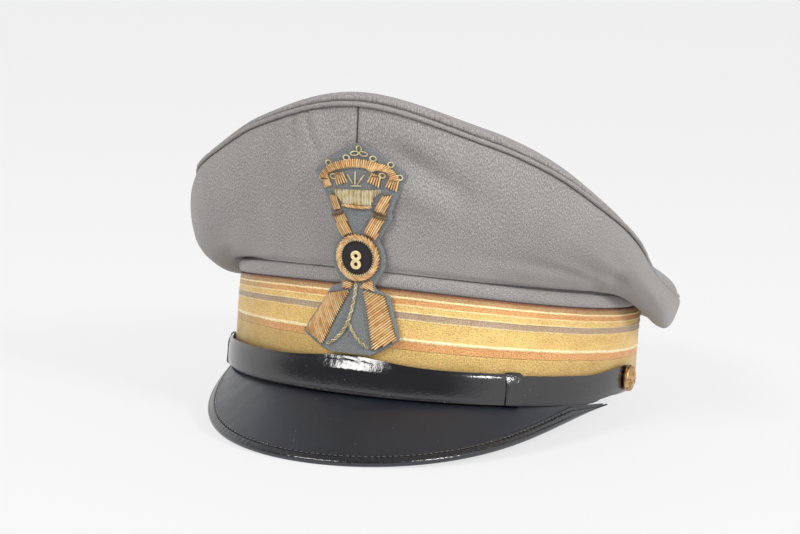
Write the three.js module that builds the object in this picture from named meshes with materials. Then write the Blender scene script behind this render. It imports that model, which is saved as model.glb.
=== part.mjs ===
// A peaked service cap of grey wool: a tall soft crown that sags behind, a stiff band under
// striped gold lace, a black lacquered peak with a sewn edge, a leather chin strap held by two
// gilt buttons, and an embroidered badge on a cloth ground. It leans back on its peak and rear rim.
// Millimetres, +Z up, the front of the cap towards -Y, origin under the middle of the whole cap.
import * as THREE from 'three';

// A point of the cap is given by its bearing round the head in degrees (0 at the front, 90 at the
// wearer's left), how far out it stands from the band's face, and how high above the lower rim.
const head = { halfLength: 100, halfWidth: 86 };
const rest = { lean: 6.4, side: 2.92, back: 3.08, up: -0.1 };
const gap = 0.3;

const lace = { bottom: 5, frontTop: 42.5, sideDip: 5, thick: 0.9 };
const band = { wall: 2.5, outerFace: -1.2 };
const welt = { height: 5.9, bulge: 0.6, inner: -3.7 };
const cloth = 2;

// The crown's side panel at each bearing: three points that its section passes through on the way
// from the welt to the top seam (its low part, its belly, the seam), and the roll above the seam.
const crownColumns = ['bearing', 'lowOut', 'lowUp', 'bellyOut', 'bellyUp', 'seamOut', 'seamUp', 'roll'];
const crownRows = [
  [-150, 16, 30, 28, 34, 28, 39, 4.5],
  [-120, 15.1, 32, 25, 41, 23, 48, 4],
  [-90, 16.3, 34.8, 22.7, 49, 18.1, 60, 3.5],
  [-75, 16.6, 42.1, 23.1, 55.5, 18.3, 69, 3.4],
  [-60, 14.5, 50.3, 23, 64.6, 20.5, 81.9, 3.6],
  [-45, 11, 58.9, 18.6, 76.1, 16, 92.8, 5.1],
  [-30, 7, 66, 13.5, 86, 13, 103.9, 5.6],
  [0, 5.2, 71, 10.6, 93, 13.6, 116.1, 7],
  [30, 7, 66, 13.5, 86, 14.3, 104.4, 6.6],
  [45, 9.7, 60.3, 16.5, 76.4, 17.6, 94.4, 5.5],
  [60, 12, 53, 19, 65.1, 18.8, 79.3, 3.8],
  [75, 10.2, 43.5, 16.7, 52.7, 12.1, 67.7, 1.2],
  [90, 11, 31.8, 17.1, 40.1, 7.1, 55.3, 1.2],
  [105, 8.9, 28, 15.3, 35.6, 8, 47, 2.3],
  [120, 12.1, 26.4, 17.4, 34.1, 15.6, 41, 5],
  [135, 15.4, 27, 26.3, 31.4, 25.5, 37.4, 6.6],
  [150, 16, 28, 28, 33, 28, 37, 6.2],
  [180, 16, 29, 27, 33, 27, 38.5, 5],
];
const crownFoot = { out: 0.4, aboveWelt: gap };
const crest = { frontY: -113.6, frontUp: 115.1, rearY: 127, rearUp: 38.5, rise: 4 };
const topPanel = { poleY: 6, rollSharpness: 34, middleRoll: 4.5 };
const piping = { radius: 0.9, standsOff: 1.5 };

const peak = { reach: 38.4, drop: 23.2, reachPower: 3.4, dropPower: 2.136, span: 93.8,
  rootOut: 0.5, rootDown: 1.9, rootBend: 0.1, thick: 2, sewnTo: 62 };
const binding = { width: 5, thick: 2.6, sewnTo: 72, fromRoot: 1.3 };

const strap = { under: { bottom: -0.8, top: 10.4, inner: 1.1, thick: 0.9, end: 93 },
  over: { bottom: -1.2, top: 11.2, inner: 2.3, thick: 0.9, from: -68, to: 46.5 },
  frontRise: 2.8, frontRiseWidth: 14, lean: 1.8, leanTo: 75, endRise: 3, endRiseFrom: 68, endRound: 5.6 };
const keeper = { width: 7.5, wall: 0.5, left: -66, right: 44, clear: 0.3, overhang: 0.1 };
const button = { bearing: 89, up: 7.7, out: 2.4, radius: 5.7, dome: 2.6, skirt: 1 };

// The badge lies on a surface that stands upright over the lace and leans with the crown above it.
const badgeFace = { out: 1.3, slope: 0.235, bendUp: 47, bendSoft: 5 };
const groundThick = 1.2;
const stitched = { low: groundThick + gap, high: 2.9 };
// The ground's outline: height above the rim, left and right edge seen from the front.
const groundColumns = ['up', 'left', 'right'];
const groundRows = [
  [15, -9, 9.5], [18, -15.5, 14.5], [21.8, -21.7, 19.8], [23.2, -21, 20], [31, -16, 17.4],
  [39.5, -10.8, 15], [41.5, -9.6, 9.8], [43, -5.6, 8.4], [46, -6.8, 9.8], [50, -8.9, 11.9],
  [54, -9.5, 12.4], [58, -8.8, 11.7], [62, -6, 9.6], [66, -7.6, 11.4], [71, -9.5, 14.6],
  [73.5, -9.4, 13.9], [79, -11.4, 15.6], [84, -14, 17.7], [88, -15, 18.8], [91, -12.6, 17.6],
  [95, -7, 12.2], [98, -2.8, 7.2], [100.5, 0.2, 3],
];
const arch = { left: [-12.6, 85.2], crown: [1.4, 92.4], right: [15.6, 86.4], width: 4.2 };
const circlet = { topLeft: [-7.4, 81.2], topRight: [10.4, 82.8], bottomRight: [6.4, 76], bottomLeft: [-4.6, 75] };
const barrels = {
  left: { muzzle: [-9.3, 78.4], breech: [-4.1, 64.4], width: 3.6 },
  right: { muzzle: [12.6, 79.6], breech: [7.1, 64.2], width: 4.2 },
};
const stocks = {
  left: { topLeft: [-9.4, 39.8], topRight: [-1.6, 41], bottomRight: [-11.6, 16.9], bottomLeft: [-20, 22.6] },
  right: { topLeft: [4.4, 41], topRight: [13.4, 39.3], bottomRight: [19, 22], bottomLeft: [9.3, 16.8] },
};
const ring = { centre: [1.5, 54], outer: 9.1, inner: 6.6, high: 3.4, taller: 1.09 };
const boss = { radius: 6.2, high: 2.5 };
const numeral = { centre: [0.8, 53.2], loopRadius: 2.15, holeRadius: 0.95, spacing: 3.6, low: 2.9, thick: 0.6 };
const badgeCord = { radius: 0.6, above: 2.2, top: [1.3, 42.6], fork: [-0.6, 26.6], leftEnd: [-9.4, 18], rightEnd: [7.7, 18] };

const radians = THREE.MathUtils.degToRad;

function material(color, roughness, metalness) {
  return new THREE.MeshStandardMaterial({ color, roughness, metalness });
}
const wool = material('#8d8c88', 0.95, 0);
const laceGold = material('#c39b4e', 0.5, 0.6);
const lacquer = material('#121215', 0.15, 0);
const gilt = material('#b98a3c', 0.35, 0.9);
const bullion = material('#b07a3a', 0.45, 0.7);
const brightBullion = material('#c9ab62', 0.35, 0.8);
const groundCloth = material('#6f777a', 0.95, 0);
const enamel = material('#1a161b', 0.4, 0);

// The point at a bearing, out from the band's face along its level normal, at a height.
function round(bearing, out, up) {
  const t = radians(bearing);
  const normal = new THREE.Vector2(Math.sin(t) / head.halfWidth, -Math.cos(t) / head.halfLength).normalize();
  return new THREE.Vector3(head.halfWidth * Math.sin(t) + out * normal.x,
    -head.halfLength * Math.cos(t) + out * normal.y, up);
}

const laceTop = (bearing) => lace.frontTop - lace.sideDip * Math.sin(radians(bearing)) ** 2;
const weltTop = (bearing) => laceTop(bearing) + gap + welt.height;
const steps = (from, to, count) => Array.from({ length: count + 1 }, (_, i) => from + ((to - from) * i) / count);
const ringSteps = (count) => steps(-180, 180, count).slice(0, count);
const mix = (a, b, share) => a.map((value, k) => value + (b[k] - value) * share);

// A smooth reading of the crown's table that runs on round the head through every row.
function crownAt(bearing) {
  const count = crownRows.length;
  const first = crownRows[0][0];
  const turned = THREE.MathUtils.euclideanModulo(bearing - first, 360) + first;
  const row = (i) => {
    const turns = Math.floor(i / count);
    const [angle, ...sizes] = crownRows[i - turns * count];
    return { angle: angle + 360 * turns, sizes };
  };
  let i = 0;
  while (i < count - 1 && row(i + 1).angle <= turned) i += 1;
  const [before, here, next, after] = [row(i - 1), row(i), row(i + 1), row(i + 2)];
  const span = next.angle - here.angle;
  const w = (turned - here.angle) / span;
  const sizes = here.sizes.map((value, k) => {
    const slopeHere = ((next.sizes[k] - before.sizes[k]) / (next.angle - before.angle)) * span;
    const slopeNext = ((after.sizes[k] - value) / (after.angle - here.angle)) * span;
    return value * (2 * w ** 3 - 3 * w ** 2 + 1) + slopeHere * (w ** 3 - 2 * w ** 2 + w)
      + next.sizes[k] * (3 * w ** 2 - 2 * w ** 3) + slopeNext * (w ** 3 - w ** 2);
  });
  return Object.fromEntries(crownColumns.slice(1).map((name, k) => [name, sizes[k]]));
}

// The side panel's section: the cubic through foot, low part, belly and seam at s = 0, 1/3, 2/3, 1.
// It returns the outer face, or with a depth the face that lies that far behind it.
function sidePoint(bearing, s, depth) {
  const c = crownAt(bearing);
  const outs = [crownFoot.out, c.lowOut, c.bellyOut, c.seamOut];
  const ups = [weltTop(bearing) + crownFoot.aboveWelt, c.lowUp, c.bellyUp, c.seamUp - gap / 2];
  const weights = [-4.5 * (s - 1 / 3) * (s - 2 / 3) * (s - 1), 13.5 * s * (s - 2 / 3) * (s - 1),
    -13.5 * s * (s - 1 / 3) * (s - 1), 4.5 * s * (s - 1 / 3) * (s - 2 / 3)];
  const rates = [-13.5 * s * s + 18 * s - 5.5, 40.5 * s * s - 45 * s + 9,
    -40.5 * s * s + 36 * s - 4.5, 13.5 * s * s - 9 * s + 1];
  const sum = (values, factors) => values.reduce((total, value, k) => total + value * factors[k], 0);
  const along = new THREE.Vector2(sum(outs, rates), sum(ups, rates)).normalize();
  return round(bearing, sum(outs, weights) - depth * along.y, sum(ups, weights) + depth * along.x);
}

// The height of the crown's middle line, from the high front to the low rear.
function crestUp(y) {
  const share = (y - crest.frontY) / (crest.rearY - crest.frontY);
  return crest.frontUp + (crest.rearUp - crest.frontUp) * share + crest.rise * Math.sin(Math.PI * share);
}

// The top panel: an arch over the seam's plan that rises from the seam in a tight roll.
// The share is 0 at the pole and 1 at the seam; the depth is that of the face behind it.
function topPoint(bearing, share, depth) {
  const c = crownAt(bearing);
  const seam = round(bearing, c.seamOut, c.seamUp);
  const plan = round(bearing, c.seamOut - depth * 1.4, c.seamUp);
  const x = plan.x * share;
  const y = topPanel.poleY + (plan.y - topPanel.poleY) * share;
  const fall = (crestUp(seam.y) - seam.z) * share ** 2;
  const rollHeight = topPanel.middleRoll + (c.roll - topPanel.middleRoll) * share ** 2;
  const roll = rollHeight * Math.sqrt(Math.max(0, 1 - share ** topPanel.rollSharpness));
  const up = crestUp(topPanel.poleY + (seam.y - topPanel.poleY) * share) - fall + roll;
  const sunk = share === 1 ? 0 : depth;
  return new THREE.Vector3(x, y, up - sunk + gap / 2);
}

// A mesh from triangles of points: empty triangles are dropped and the faces are turned outward.
function meshOf(name, look, triangles) {
  const faces = triangles.filter(([a, b, c]) => a.distanceTo(b) > 1e-4 && b.distanceTo(c) > 1e-4 && c.distanceTo(a) > 1e-4);
  const volume = faces.reduce((total, [a, b, c]) => total + a.dot(b.clone().cross(c)), 0);
  const turned = volume < 0 ? faces.map(([a, b, c]) => [a, c, b]) : faces;
  const geometry = new THREE.BufferGeometry();
  geometry.setAttribute('position', new THREE.Float32BufferAttribute(turned.flat().flatMap((p) => p.toArray()), 3));
  geometry.computeVertexNormals();
  const mesh = new THREE.Mesh(geometry, look);
  mesh.name = name;
  return mesh;
}

const quad = (a, b, c, d) => [[a, b, c], [a, c, d]];

// A wall between an outer and an inner grid of points; a ring joins its last row to its first.
function wall(name, look, outer, inner, isRing) {
  const rows = outer.length;
  const last = outer[0].length - 1;
  const triangles = [];
  for (let i = 0; i < (isRing ? rows : rows - 1); i += 1) {
    const k = (i + 1) % rows;
    for (let j = 0; j < last; j += 1) {
      triangles.push(...quad(outer[i][j], outer[k][j], outer[k][j + 1], outer[i][j + 1]));
      triangles.push(...quad(inner[i][j], inner[i][j + 1], inner[k][j + 1], inner[k][j]));
    }
    triangles.push(...quad(outer[i][0], inner[i][0], inner[k][0], outer[k][0]));
    triangles.push(...quad(outer[i][last], outer[k][last], inner[k][last], inner[i][last]));
  }
  if (!isRing) {
    for (let j = 0; j < last; j += 1) {
      triangles.push(...quad(outer[0][j], outer[0][j + 1], inner[0][j + 1], inner[0][j]));
      triangles.push(...quad(outer[rows - 1][j], inner[rows - 1][j], inner[rows - 1][j + 1], outer[rows - 1][j + 1]));
    }
  }
  return meshOf(name, look, triangles);
}

// A solid swept through closed sections; open ends are capped from each section's middle.
function swept(name, look, sections, isRing) {
  const rows = sections.length;
  const sides = sections[0].length;
  const triangles = [];
  for (let i = 0; i < (isRing ? rows : rows - 1); i += 1) {
    for (let j = 0; j < sides; j += 1) {
      const [k, m] = [(i + 1) % rows, (j + 1) % sides];
      triangles.push(...quad(sections[i][j], sections[k][j], sections[k][m], sections[i][m]));
    }
  }
  if (!isRing) {
    [[sections[0], 1], [sections[rows - 1], -1]].forEach(([section, way]) => {
      const middle = section.reduce((sum, p) => sum.add(p), new THREE.Vector3()).divideScalar(sides);
      section.forEach((p, j) => {
        const q = section[(j + 1) % sides];
        triangles.push(way > 0 ? [middle, p, q] : [middle, q, p]);
      });
    });
  }
  return meshOf(name, look, triangles);
}

// The four corners of a flat section at a bearing.
const slab = (bearing, inner, outer, bottom, top) => [round(bearing, inner, bottom), round(bearing, outer, bottom),
  round(bearing, outer, top), round(bearing, inner, top)];

function crownParts() {
  const across = 9;
  const side = (from, to) => [0, cloth].map((depth) => steps(from, to, 30)
    .map((bearing) => steps(0, 1, across).map((s) => sidePoint(bearing, s, depth))));
  const halfGap = 0.12;
  const left = side(halfGap, 180 - halfGap);
  const right = side(-180 + halfGap, -halfGap);
  const top = [0, cloth].map((depth) => ringSteps(44)
    .map((bearing) => steps(0, 1, 8).map((v) => topPoint(bearing, 1 - v * v, depth))));
  const pipe = ringSteps(64).map((bearing) => {
    const seam = sidePoint(bearing, 1, 0);
    const outward = round(bearing, 1, 0).sub(round(bearing, 0, 0));
    const between = sidePoint(bearing, 1, -1).sub(seam).add(outward).normalize();
    const middle = seam.addScaledVector(between, piping.standsOff / between.dot(outward));
    return steps(0, 288, 4).map((turn) => middle.clone()
      .addScaledVector(outward, piping.radius * Math.cos(radians(turn)))
      .add(new THREE.Vector3(0, 0, piping.radius * Math.sin(radians(turn)))));
  });
  return [wall('side_panel_left', wool, left[0], left[1], false),
    wall('side_panel_right', wool, right[0], right[1], false),
    wall('top_panel', wool, top[0], top[1], true),
    swept('edge_piping', wool, pipe, true)];
}

function bandParts() {
  const bandInner = band.outerFace - band.wall;
  const core = ringSteps(60).map((b) => slab(b, bandInner, band.outerFace, 0, laceTop(b)));
  const skin = ringSteps(60).map((b) => slab(b, -lace.thick, 0, lace.bottom, laceTop(b)));
  const middleOut = (welt.bulge + welt.inner) / 2;
  const roll = ringSteps(60).map((b) => steps(0, 315, 7).map((turn) => round(b,
    middleOut + (welt.bulge - middleOut) * Math.cos(radians(turn)),
    laceTop(b) + gap + (welt.height / 2) * (1 + Math.sin(radians(turn))))));
  return [swept('band', wool, core, true), swept('gold_lace', laceGold, skin, true), swept('welt', wool, roll, true)];
}

// The peak's edge at a bearing: how far out and how far down it reaches.
function peakEdge(bearing) {
  const c = Math.max(0, Math.cos((radians(bearing) / radians(peak.span)) * (Math.PI / 2)));
  return { out: peak.reach * c ** peak.reachPower, down: peak.drop * c ** peak.dropPower };
}

// How much of its drop the peak has made at a share of the way out: level at the root, then even.
function peakFall(share) {
  const eased = (s) => s - peak.rootBend * (1 - Math.exp(-s / peak.rootBend));
  return eased(share) / eased(1);
}

// A point of the peak at a distance from its root towards its edge, raised square to its face.
function peakPoint(bearing, distance, raised) {
  const edge = peakEdge(bearing);
  const length = Math.hypot(edge.out, edge.down);
  const [out, down] = [edge.out / length, edge.down / length];
  return round(bearing, peak.rootOut + out * distance + down * raised,
    -peak.rootDown - edge.down * peakFall(distance / length) + out * raised);
}

function peakParts() {
  const length = (bearing) => Math.hypot(peakEdge(bearing).out, peakEdge(bearing).down);
  const face = [0, -peak.thick].map((raised) => steps(-peak.sewnTo, peak.sewnTo, 32).map((b) => steps(0, 1, 5)
    .map((share) => peakPoint(b, 0.4 + share * (length(b) - binding.width - 2 * gap - 0.4), raised))));
  const edge = steps(-binding.sewnTo, binding.sewnTo, 40).map((b) => {
    const outer = length(b);
    const inner = Math.max(binding.fromRoot, outer - binding.width);
    const middle = -peak.thick / 2;
    const half = binding.thick / 2;
    return [[inner, half], [outer - half, half], [outer - 0.3 * half, half * 0.7], [outer, 0],
      [outer - 0.3 * half, -half * 0.7], [outer - half, -half], [inner, -half]]
      .map(([distance, raised]) => peakPoint(b, Math.max(inner, distance), middle + raised));
  });
  return [wall('peak', lacquer, face[0], face[1], false), swept('peak_binding', lacquer, edge, false)];
}

const smooth = (share) => { const s = Math.min(1, Math.max(0, share)); return s * s * (3 - 2 * s); };

// The strap's rise near its ends, the bulge of its top edge at the front, and its lean at the foot.
const strapRise = (b) => strap.endRise * smooth((Math.abs(b) - strap.endRiseFrom) / (90 - strap.endRiseFrom));
const strapBulge = (b) => strap.frontRise * Math.exp(-((b / strap.frontRiseWidth) ** 2));
const strapLean = (b) => strap.lean * smooth(1.4 * (1 - Math.abs(b) / strap.leanTo));

// A strap section at a bearing: its height is drawn in by a share near a rounded end.
function strapSection(b, layer, share) {
  const rise = strapRise(b);
  const middle = (layer.bottom + layer.top) / 2 + rise;
  const bottom = middle + (layer.bottom + rise - middle) * share;
  const top = middle + (layer.top + strapBulge(b) + rise - middle) * share;
  const lean = strapLean(b);
  return [round(b, layer.inner + lean, bottom), round(b, layer.inner + layer.thick + lean, bottom),
    round(b, layer.inner + layer.thick, top), round(b, layer.inner, top)];
}

function strapParts() {
  const { under, over } = strap;
  const roundedFrom = under.end - (strap.endRound / head.halfLength) * (180 / Math.PI);
  const endShare = (b) => {
    const past = Math.max(0, (Math.abs(b) - roundedFrom) / (under.end - roundedFrom));
    return Math.sqrt(Math.max(0.02, 1 - past * past));
  };
  const endSteps = steps(roundedFrom, under.end, 5).slice(1);
  const bearings = [...endSteps.map((b) => -b).reverse(), ...steps(-roundedFrom, roundedFrom, 34), ...endSteps];
  const long = bearings.map((b) => strapSection(b, under, endShare(b)));
  const short = steps(over.from, over.to, 26).map((b) => strapSection(b, over, 1));
  return [swept('chin_strap', lacquer, long, false), swept('chin_strap_double', lacquer, short, false)];
}

// A keeper: a flat loop round both layers of the strap.
function keeperPart(name, bearing) {
  const half = ((keeper.width / 2) / head.halfLength) * (180 / Math.PI);
  const loop = (b, spread) => {
    const lean = strapLean(b);
    const inner = strap.under.inner - keeper.clear - spread;
    const outer = strap.over.inner + strap.over.thick + keeper.clear + spread;
    const bottom = strap.over.bottom - keeper.overhang - spread;
    const top = strap.over.top + strapBulge(b) + keeper.overhang + spread;
    return [round(b, inner + lean, bottom), round(b, outer + lean, bottom), round(b, outer, top), round(b, inner, top)];
  };
  const ends = steps(bearing - half, bearing + half, 2);
  const grid = (spread) => [0, 1, 2, 3].map((corner) => ends.map((b) => loop(b, spread)[corner]));
  return wall(name, lacquer, grid(keeper.wall), grid(0), true);
}

function buttonPart(name, side) {
  const { radius, dome, skirt } = button;
  const arc = steps(90, 0, 6).map((turn) => new THREE.Vector2(radius * Math.cos(radians(turn)),
    skirt + dome * Math.sin(radians(turn))));
  const profile = [...arc, new THREE.Vector2(radius * 0.86, skirt * 0.4), new THREE.Vector2(radius * 0.5, 0), new THREE.Vector2(0, 0)];
  profile[0].x = 0;
  const lathe = new THREE.LatheGeometry(profile.reverse(), 20).toNonIndexed();
  const axis = round(side * button.bearing, 1, 0).sub(round(side * button.bearing, 0, 0)).normalize();
  const turn = new THREE.Quaternion().setFromUnitVectors(new THREE.Vector3(0, 1, 0), axis);
  lathe.applyQuaternion(turn);
  const seat = round(side * button.bearing, button.out, button.up);
  lathe.translate(seat.x, seat.y, seat.z);
  const spots = lathe.getAttribute('position');
  const at = (i) => new THREE.Vector3().fromBufferAttribute(spots, i);
  const triangles = steps(0, spots.count / 3 - 1, spots.count / 3 - 1).map((i) => [at(3 * i), at(3 * i + 1), at(3 * i + 2)]);
  return meshOf(name, gilt, triangles);
}

// A point of the badge: millimetres across from the middle, height above the rim, and depth off its face.
function onBadge([across, up], depth) {
  const { out, slope, bendUp, bendSoft } = badgeFace;
  const leaning = slope * bendSoft * Math.log(1 + Math.exp((up - bendUp) / bendSoft));
  return round((across / head.halfWidth) * (180 / Math.PI), out + leaning + depth, up);
}

// An embroidered pad over a four-sided field: padded up in the middle of its width.
function padPart(name, look, { topLeft, topRight, bottomRight, bottomLeft }, long, wide) {
  const spot = (u, v) => mix(mix(topLeft, topRight, v), mix(bottomLeft, bottomRight, v), u);
  const grid = (depth) => steps(0, 1, long).map((u) => steps(0, 1, wide).map((v) => onBadge(spot(u, v), depth(v))));
  const padded = (v) => stitched.high - 0.5 * (2 * v - 1) ** 2;
  return wall(name, look, grid(padded), grid(() => stitched.low), false);
}

function stripCorners({ muzzle, breech, width }) {
  const way = new THREE.Vector2(breech[0] - muzzle[0], breech[1] - muzzle[1]).normalize();
  const beside = ([across, up], side) => [across + side * (width / 2) * way.y, up - side * (width / 2) * way.x];
  return { topLeft: beside(muzzle, 1), topRight: beside(muzzle, -1), bottomRight: beside(breech, -1), bottomLeft: beside(breech, 1) };
}

// The round wall or disc of the badge between two radii.
function roundPart(name, look, inner, outer, low, high) {
  const spot = (turn, radius) => [ring.centre[0] + radius * Math.sin(radians(turn)),
    ring.centre[1] + ring.taller * radius * Math.cos(radians(turn))];
  const grid = (depth) => ringSteps(22).map((turn) => steps(0, 1, inner > 0 ? 4 : 2)
    .map((v) => onBadge(spot(turn, inner + (outer - inner) * v), depth(v))));
  return wall(name, look, grid(high), grid(() => low), true);
}

function numeralPart() {
  const { centre, loopRadius, holeRadius, spacing, low, thick } = numeral;
  const crossing = Math.asin((spacing / 2) / loopRadius);
  const outline = new THREE.Shape();
  outline.absarc(0, spacing / 2, loopRadius, -crossing, Math.PI + crossing, false);
  outline.absarc(0, -spacing / 2, loopRadius, Math.PI - crossing, 2 * Math.PI + crossing, false);
  [-1, 1].forEach((side) => {
    const hole = new THREE.Path();
    hole.absarc(0, (side * spacing) / 2, holeRadius, 0, 2 * Math.PI, true);
    outline.holes.push(hole);
  });
  const flat = new THREE.ExtrudeGeometry(outline, { depth: thick, bevelEnabled: false, curveSegments: 10 });
  const spots = flat.getAttribute('position');
  const at = (i) => onBadge([centre[0] + spots.getX(i), centre[1] + spots.getY(i)], low + spots.getZ(i));
  const triangles = steps(0, spots.count / 3 - 1, spots.count / 3 - 1).map((i) => [at(3 * i), at(3 * i + 1), at(3 * i + 2)]);
  return meshOf('badge_number', gilt, triangles);
}

// The twisted cord: down from the ring, then out to one end under each stock.
function cordPart() {
  const { top, fork, leftEnd, rightEnd, radius, above } = badgeCord;
  const path = new THREE.CatmullRomCurve3([leftEnd, mix(leftEnd, fork, 0.62), fork, mix(fork, top, 0.5), top]
    .map(([across, up]) => new THREE.Vector3(across, up, 0)));
  const branch = new THREE.CatmullRomCurve3([mix(fork, rightEnd, 0.16), mix(fork, rightEnd, 0.5), rightEnd]
    .map(([across, up]) => new THREE.Vector3(across, up, 0)));
  const tube = (name, curve, count) => swept(name, brightBullion, steps(0, 1, count).map((s) => {
    const p = curve.getPoint(s);
    const way = curve.getTangent(s);
    return steps(0, 300, 5).map((turn) => onBadge([p.x - way.y * radius * Math.cos(radians(turn)),
      p.y + way.x * radius * Math.cos(radians(turn))], above + radius * Math.sin(radians(turn))));
  }), false);
  return [tube('badge_cord', path, 14), tube('badge_cord_end', branch, 6)];
}

function badgeParts() {
  const ground = (depth) => groundRows.map(([up, left, right]) => steps(left, right, 6).map((across) => onBadge([across, up], depth)));
  const archPath = new THREE.QuadraticBezierCurve(new THREE.Vector2(...arch.left),
    new THREE.Vector2(arch.crown[0], 2 * arch.crown[1] - (arch.left[1] + arch.right[1]) / 2), new THREE.Vector2(...arch.right));
  const archGrid = (depth) => steps(0, 1, 14).map((s) => {
    const p = archPath.getPoint(s);
    const way = archPath.getTangent(s);
    return steps(-0.5, 0.5, 3).map((v) => onBadge([p.x - way.y * arch.width * v, p.y + way.x * arch.width * v], depth(v)));
  });
  return [wall('badge_ground', groundCloth, ground(groundThick), ground(0), false),
    wall('badge_arch', bullion, archGrid((v) => stitched.high - 2 * v * v), archGrid(() => stitched.low), false),
    padPart('badge_circlet', brightBullion, circlet, 3, 6),
    padPart('badge_barrel_left', bullion, stripCorners(barrels.left), 5, 3),
    padPart('badge_barrel_right', bullion, stripCorners(barrels.right), 5, 3),
    padPart('badge_stock_left', bullion, stocks.left, 7, 4),
    padPart('badge_stock_right', bullion, stocks.right, 7, 4),
    roundPart('badge_ring', bullion, ring.inner, ring.outer, stitched.low, (v) => ring.high - 1.2 * (2 * v - 1) ** 2),
    roundPart('badge_boss', enamel, 0, boss.radius, stitched.low, (v) => boss.high - 0.3 * v * v),
    numeralPart(), ...cordPart()];
}

// The cap is built upright, then leans back on its peak and the rear of its rim.
const cap = new THREE.Group();
cap.add(...crownParts(), ...bandParts(), ...peakParts(), ...strapParts(),
  keeperPart('keeper_left', keeper.left), keeperPart('keeper_right', keeper.right),
  buttonPart('button_left', 1), buttonPart('button_right', -1), ...badgeParts());
cap.rotation.x = -radians(rest.lean);
cap.position.set(rest.side, rest.back + head.halfLength * (1 - Math.cos(radians(rest.lean))),
  rest.up + head.halfLength * Math.sin(radians(rest.lean)));

const group = new THREE.Group();
group.add(cap);

export default group;
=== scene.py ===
import math

import bmesh
import bpy
import numpy as np
from mathutils import Matrix, Vector


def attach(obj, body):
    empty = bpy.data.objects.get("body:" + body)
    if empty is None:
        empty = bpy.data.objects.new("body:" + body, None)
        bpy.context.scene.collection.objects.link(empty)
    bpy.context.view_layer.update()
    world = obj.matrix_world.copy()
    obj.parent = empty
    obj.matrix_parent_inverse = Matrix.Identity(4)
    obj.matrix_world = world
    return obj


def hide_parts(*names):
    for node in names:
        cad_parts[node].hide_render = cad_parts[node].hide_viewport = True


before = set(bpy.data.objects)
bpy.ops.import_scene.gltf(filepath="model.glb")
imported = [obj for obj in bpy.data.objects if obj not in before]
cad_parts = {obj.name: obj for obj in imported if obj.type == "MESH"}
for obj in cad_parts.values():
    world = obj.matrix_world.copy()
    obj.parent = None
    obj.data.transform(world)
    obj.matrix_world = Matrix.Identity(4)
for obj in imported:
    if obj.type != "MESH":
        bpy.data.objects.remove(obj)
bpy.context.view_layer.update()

# The camera stands 1.25 m off and a little above the table, round to the wearer's left of the
# front, with a long lens and a slight tilt to one side.
camera_place = Vector((0.4384, -1.1493, 0.2715))
camera_aim = Vector((-0.0129, -0.0034, 0.0575))
camera_tilt = math.radians(2.2)
lens = bpy.data.cameras.new("camera")
lens.sensor_width = 36
lens.lens = 129.06
camera = bpy.data.objects.new("camera", lens)
level = (camera_aim - camera_place).to_track_quat("-Z", "Y").to_matrix()
turned = level @ Matrix.Rotation(camera_tilt, 3, "Z")
camera.matrix_world = Matrix.Translation(camera_place) @ turned.to_4x4()
bpy.context.scene.collection.objects.link(camera)
bpy.context.scene.camera = camera

# The band: a stiff ring 2.5 mm thick round the head, covered in the crown's grey wool. It is
# built upright here, in millimetres, and leans back on its rear edge as the cap lies on a table.
head_length = 100.0
head_width = 86.0
lean_back = math.radians(6.4)
moved_across, moved_back, moved_up = 2.92, 3.08, -0.1


def unit(vectors):
    """The vectors divided by their lengths."""
    return vectors / np.linalg.norm(vectors, axis=-1, keepdims=True)


def stacked(*parts):
    """Coordinates spread to one shape and put side by side in the last axis."""
    return np.stack(np.broadcast_arrays(*parts), axis=-1)


def all_round(count):
    """Evenly spaced bearings once round the head from behind, as a column."""
    return np.linspace(-180, 180, count + 1)[:-1, None]


def ripple(bearing, count, phase=0.0):
    """A sine with `count` waves round the head, moved on by a phase."""
    return np.sin(np.radians(bearing * count) + phase)


def bell(share):
    """The bell exp(-x^2): 1 in the middle, 0.37 at x = 1 and next to nothing at x = 2."""
    return np.exp(-share**2)


def beside_head(bearing, out, up):
    """Point of the upright cap: on the oval (86 sin t, -100 cos t) at bearing t, moved out along
    the oval's level normal, at a height. Bearing 0 is the front and 90 the wearer's left."""
    turn, out, up = np.broadcast_arrays(np.radians(bearing), out, up)
    normal = unit(np.stack([np.sin(turn) / head_width, -np.cos(turn) / head_length], axis=-1))
    across = head_width * np.sin(turn) + out * normal[..., 0]
    along = -head_length * np.cos(turn) + out * normal[..., 1]
    return np.stack([across, along, up], axis=-1)


def on_table(points):
    """Turns the upright cap back by 6.4 degrees about the rear of its rim, sets it down, and
    changes millimetres to metres."""
    x, y, z = points[..., 0], points[..., 1], points[..., 2]
    c, s = math.cos(lean_back), math.sin(lean_back)
    back = y * c + z * s + head_length * (1 - c) + moved_back
    height = -y * s + z * c + head_length * s + moved_up
    return np.stack([x + moved_across, back, height], axis=-1) / 1000


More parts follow.
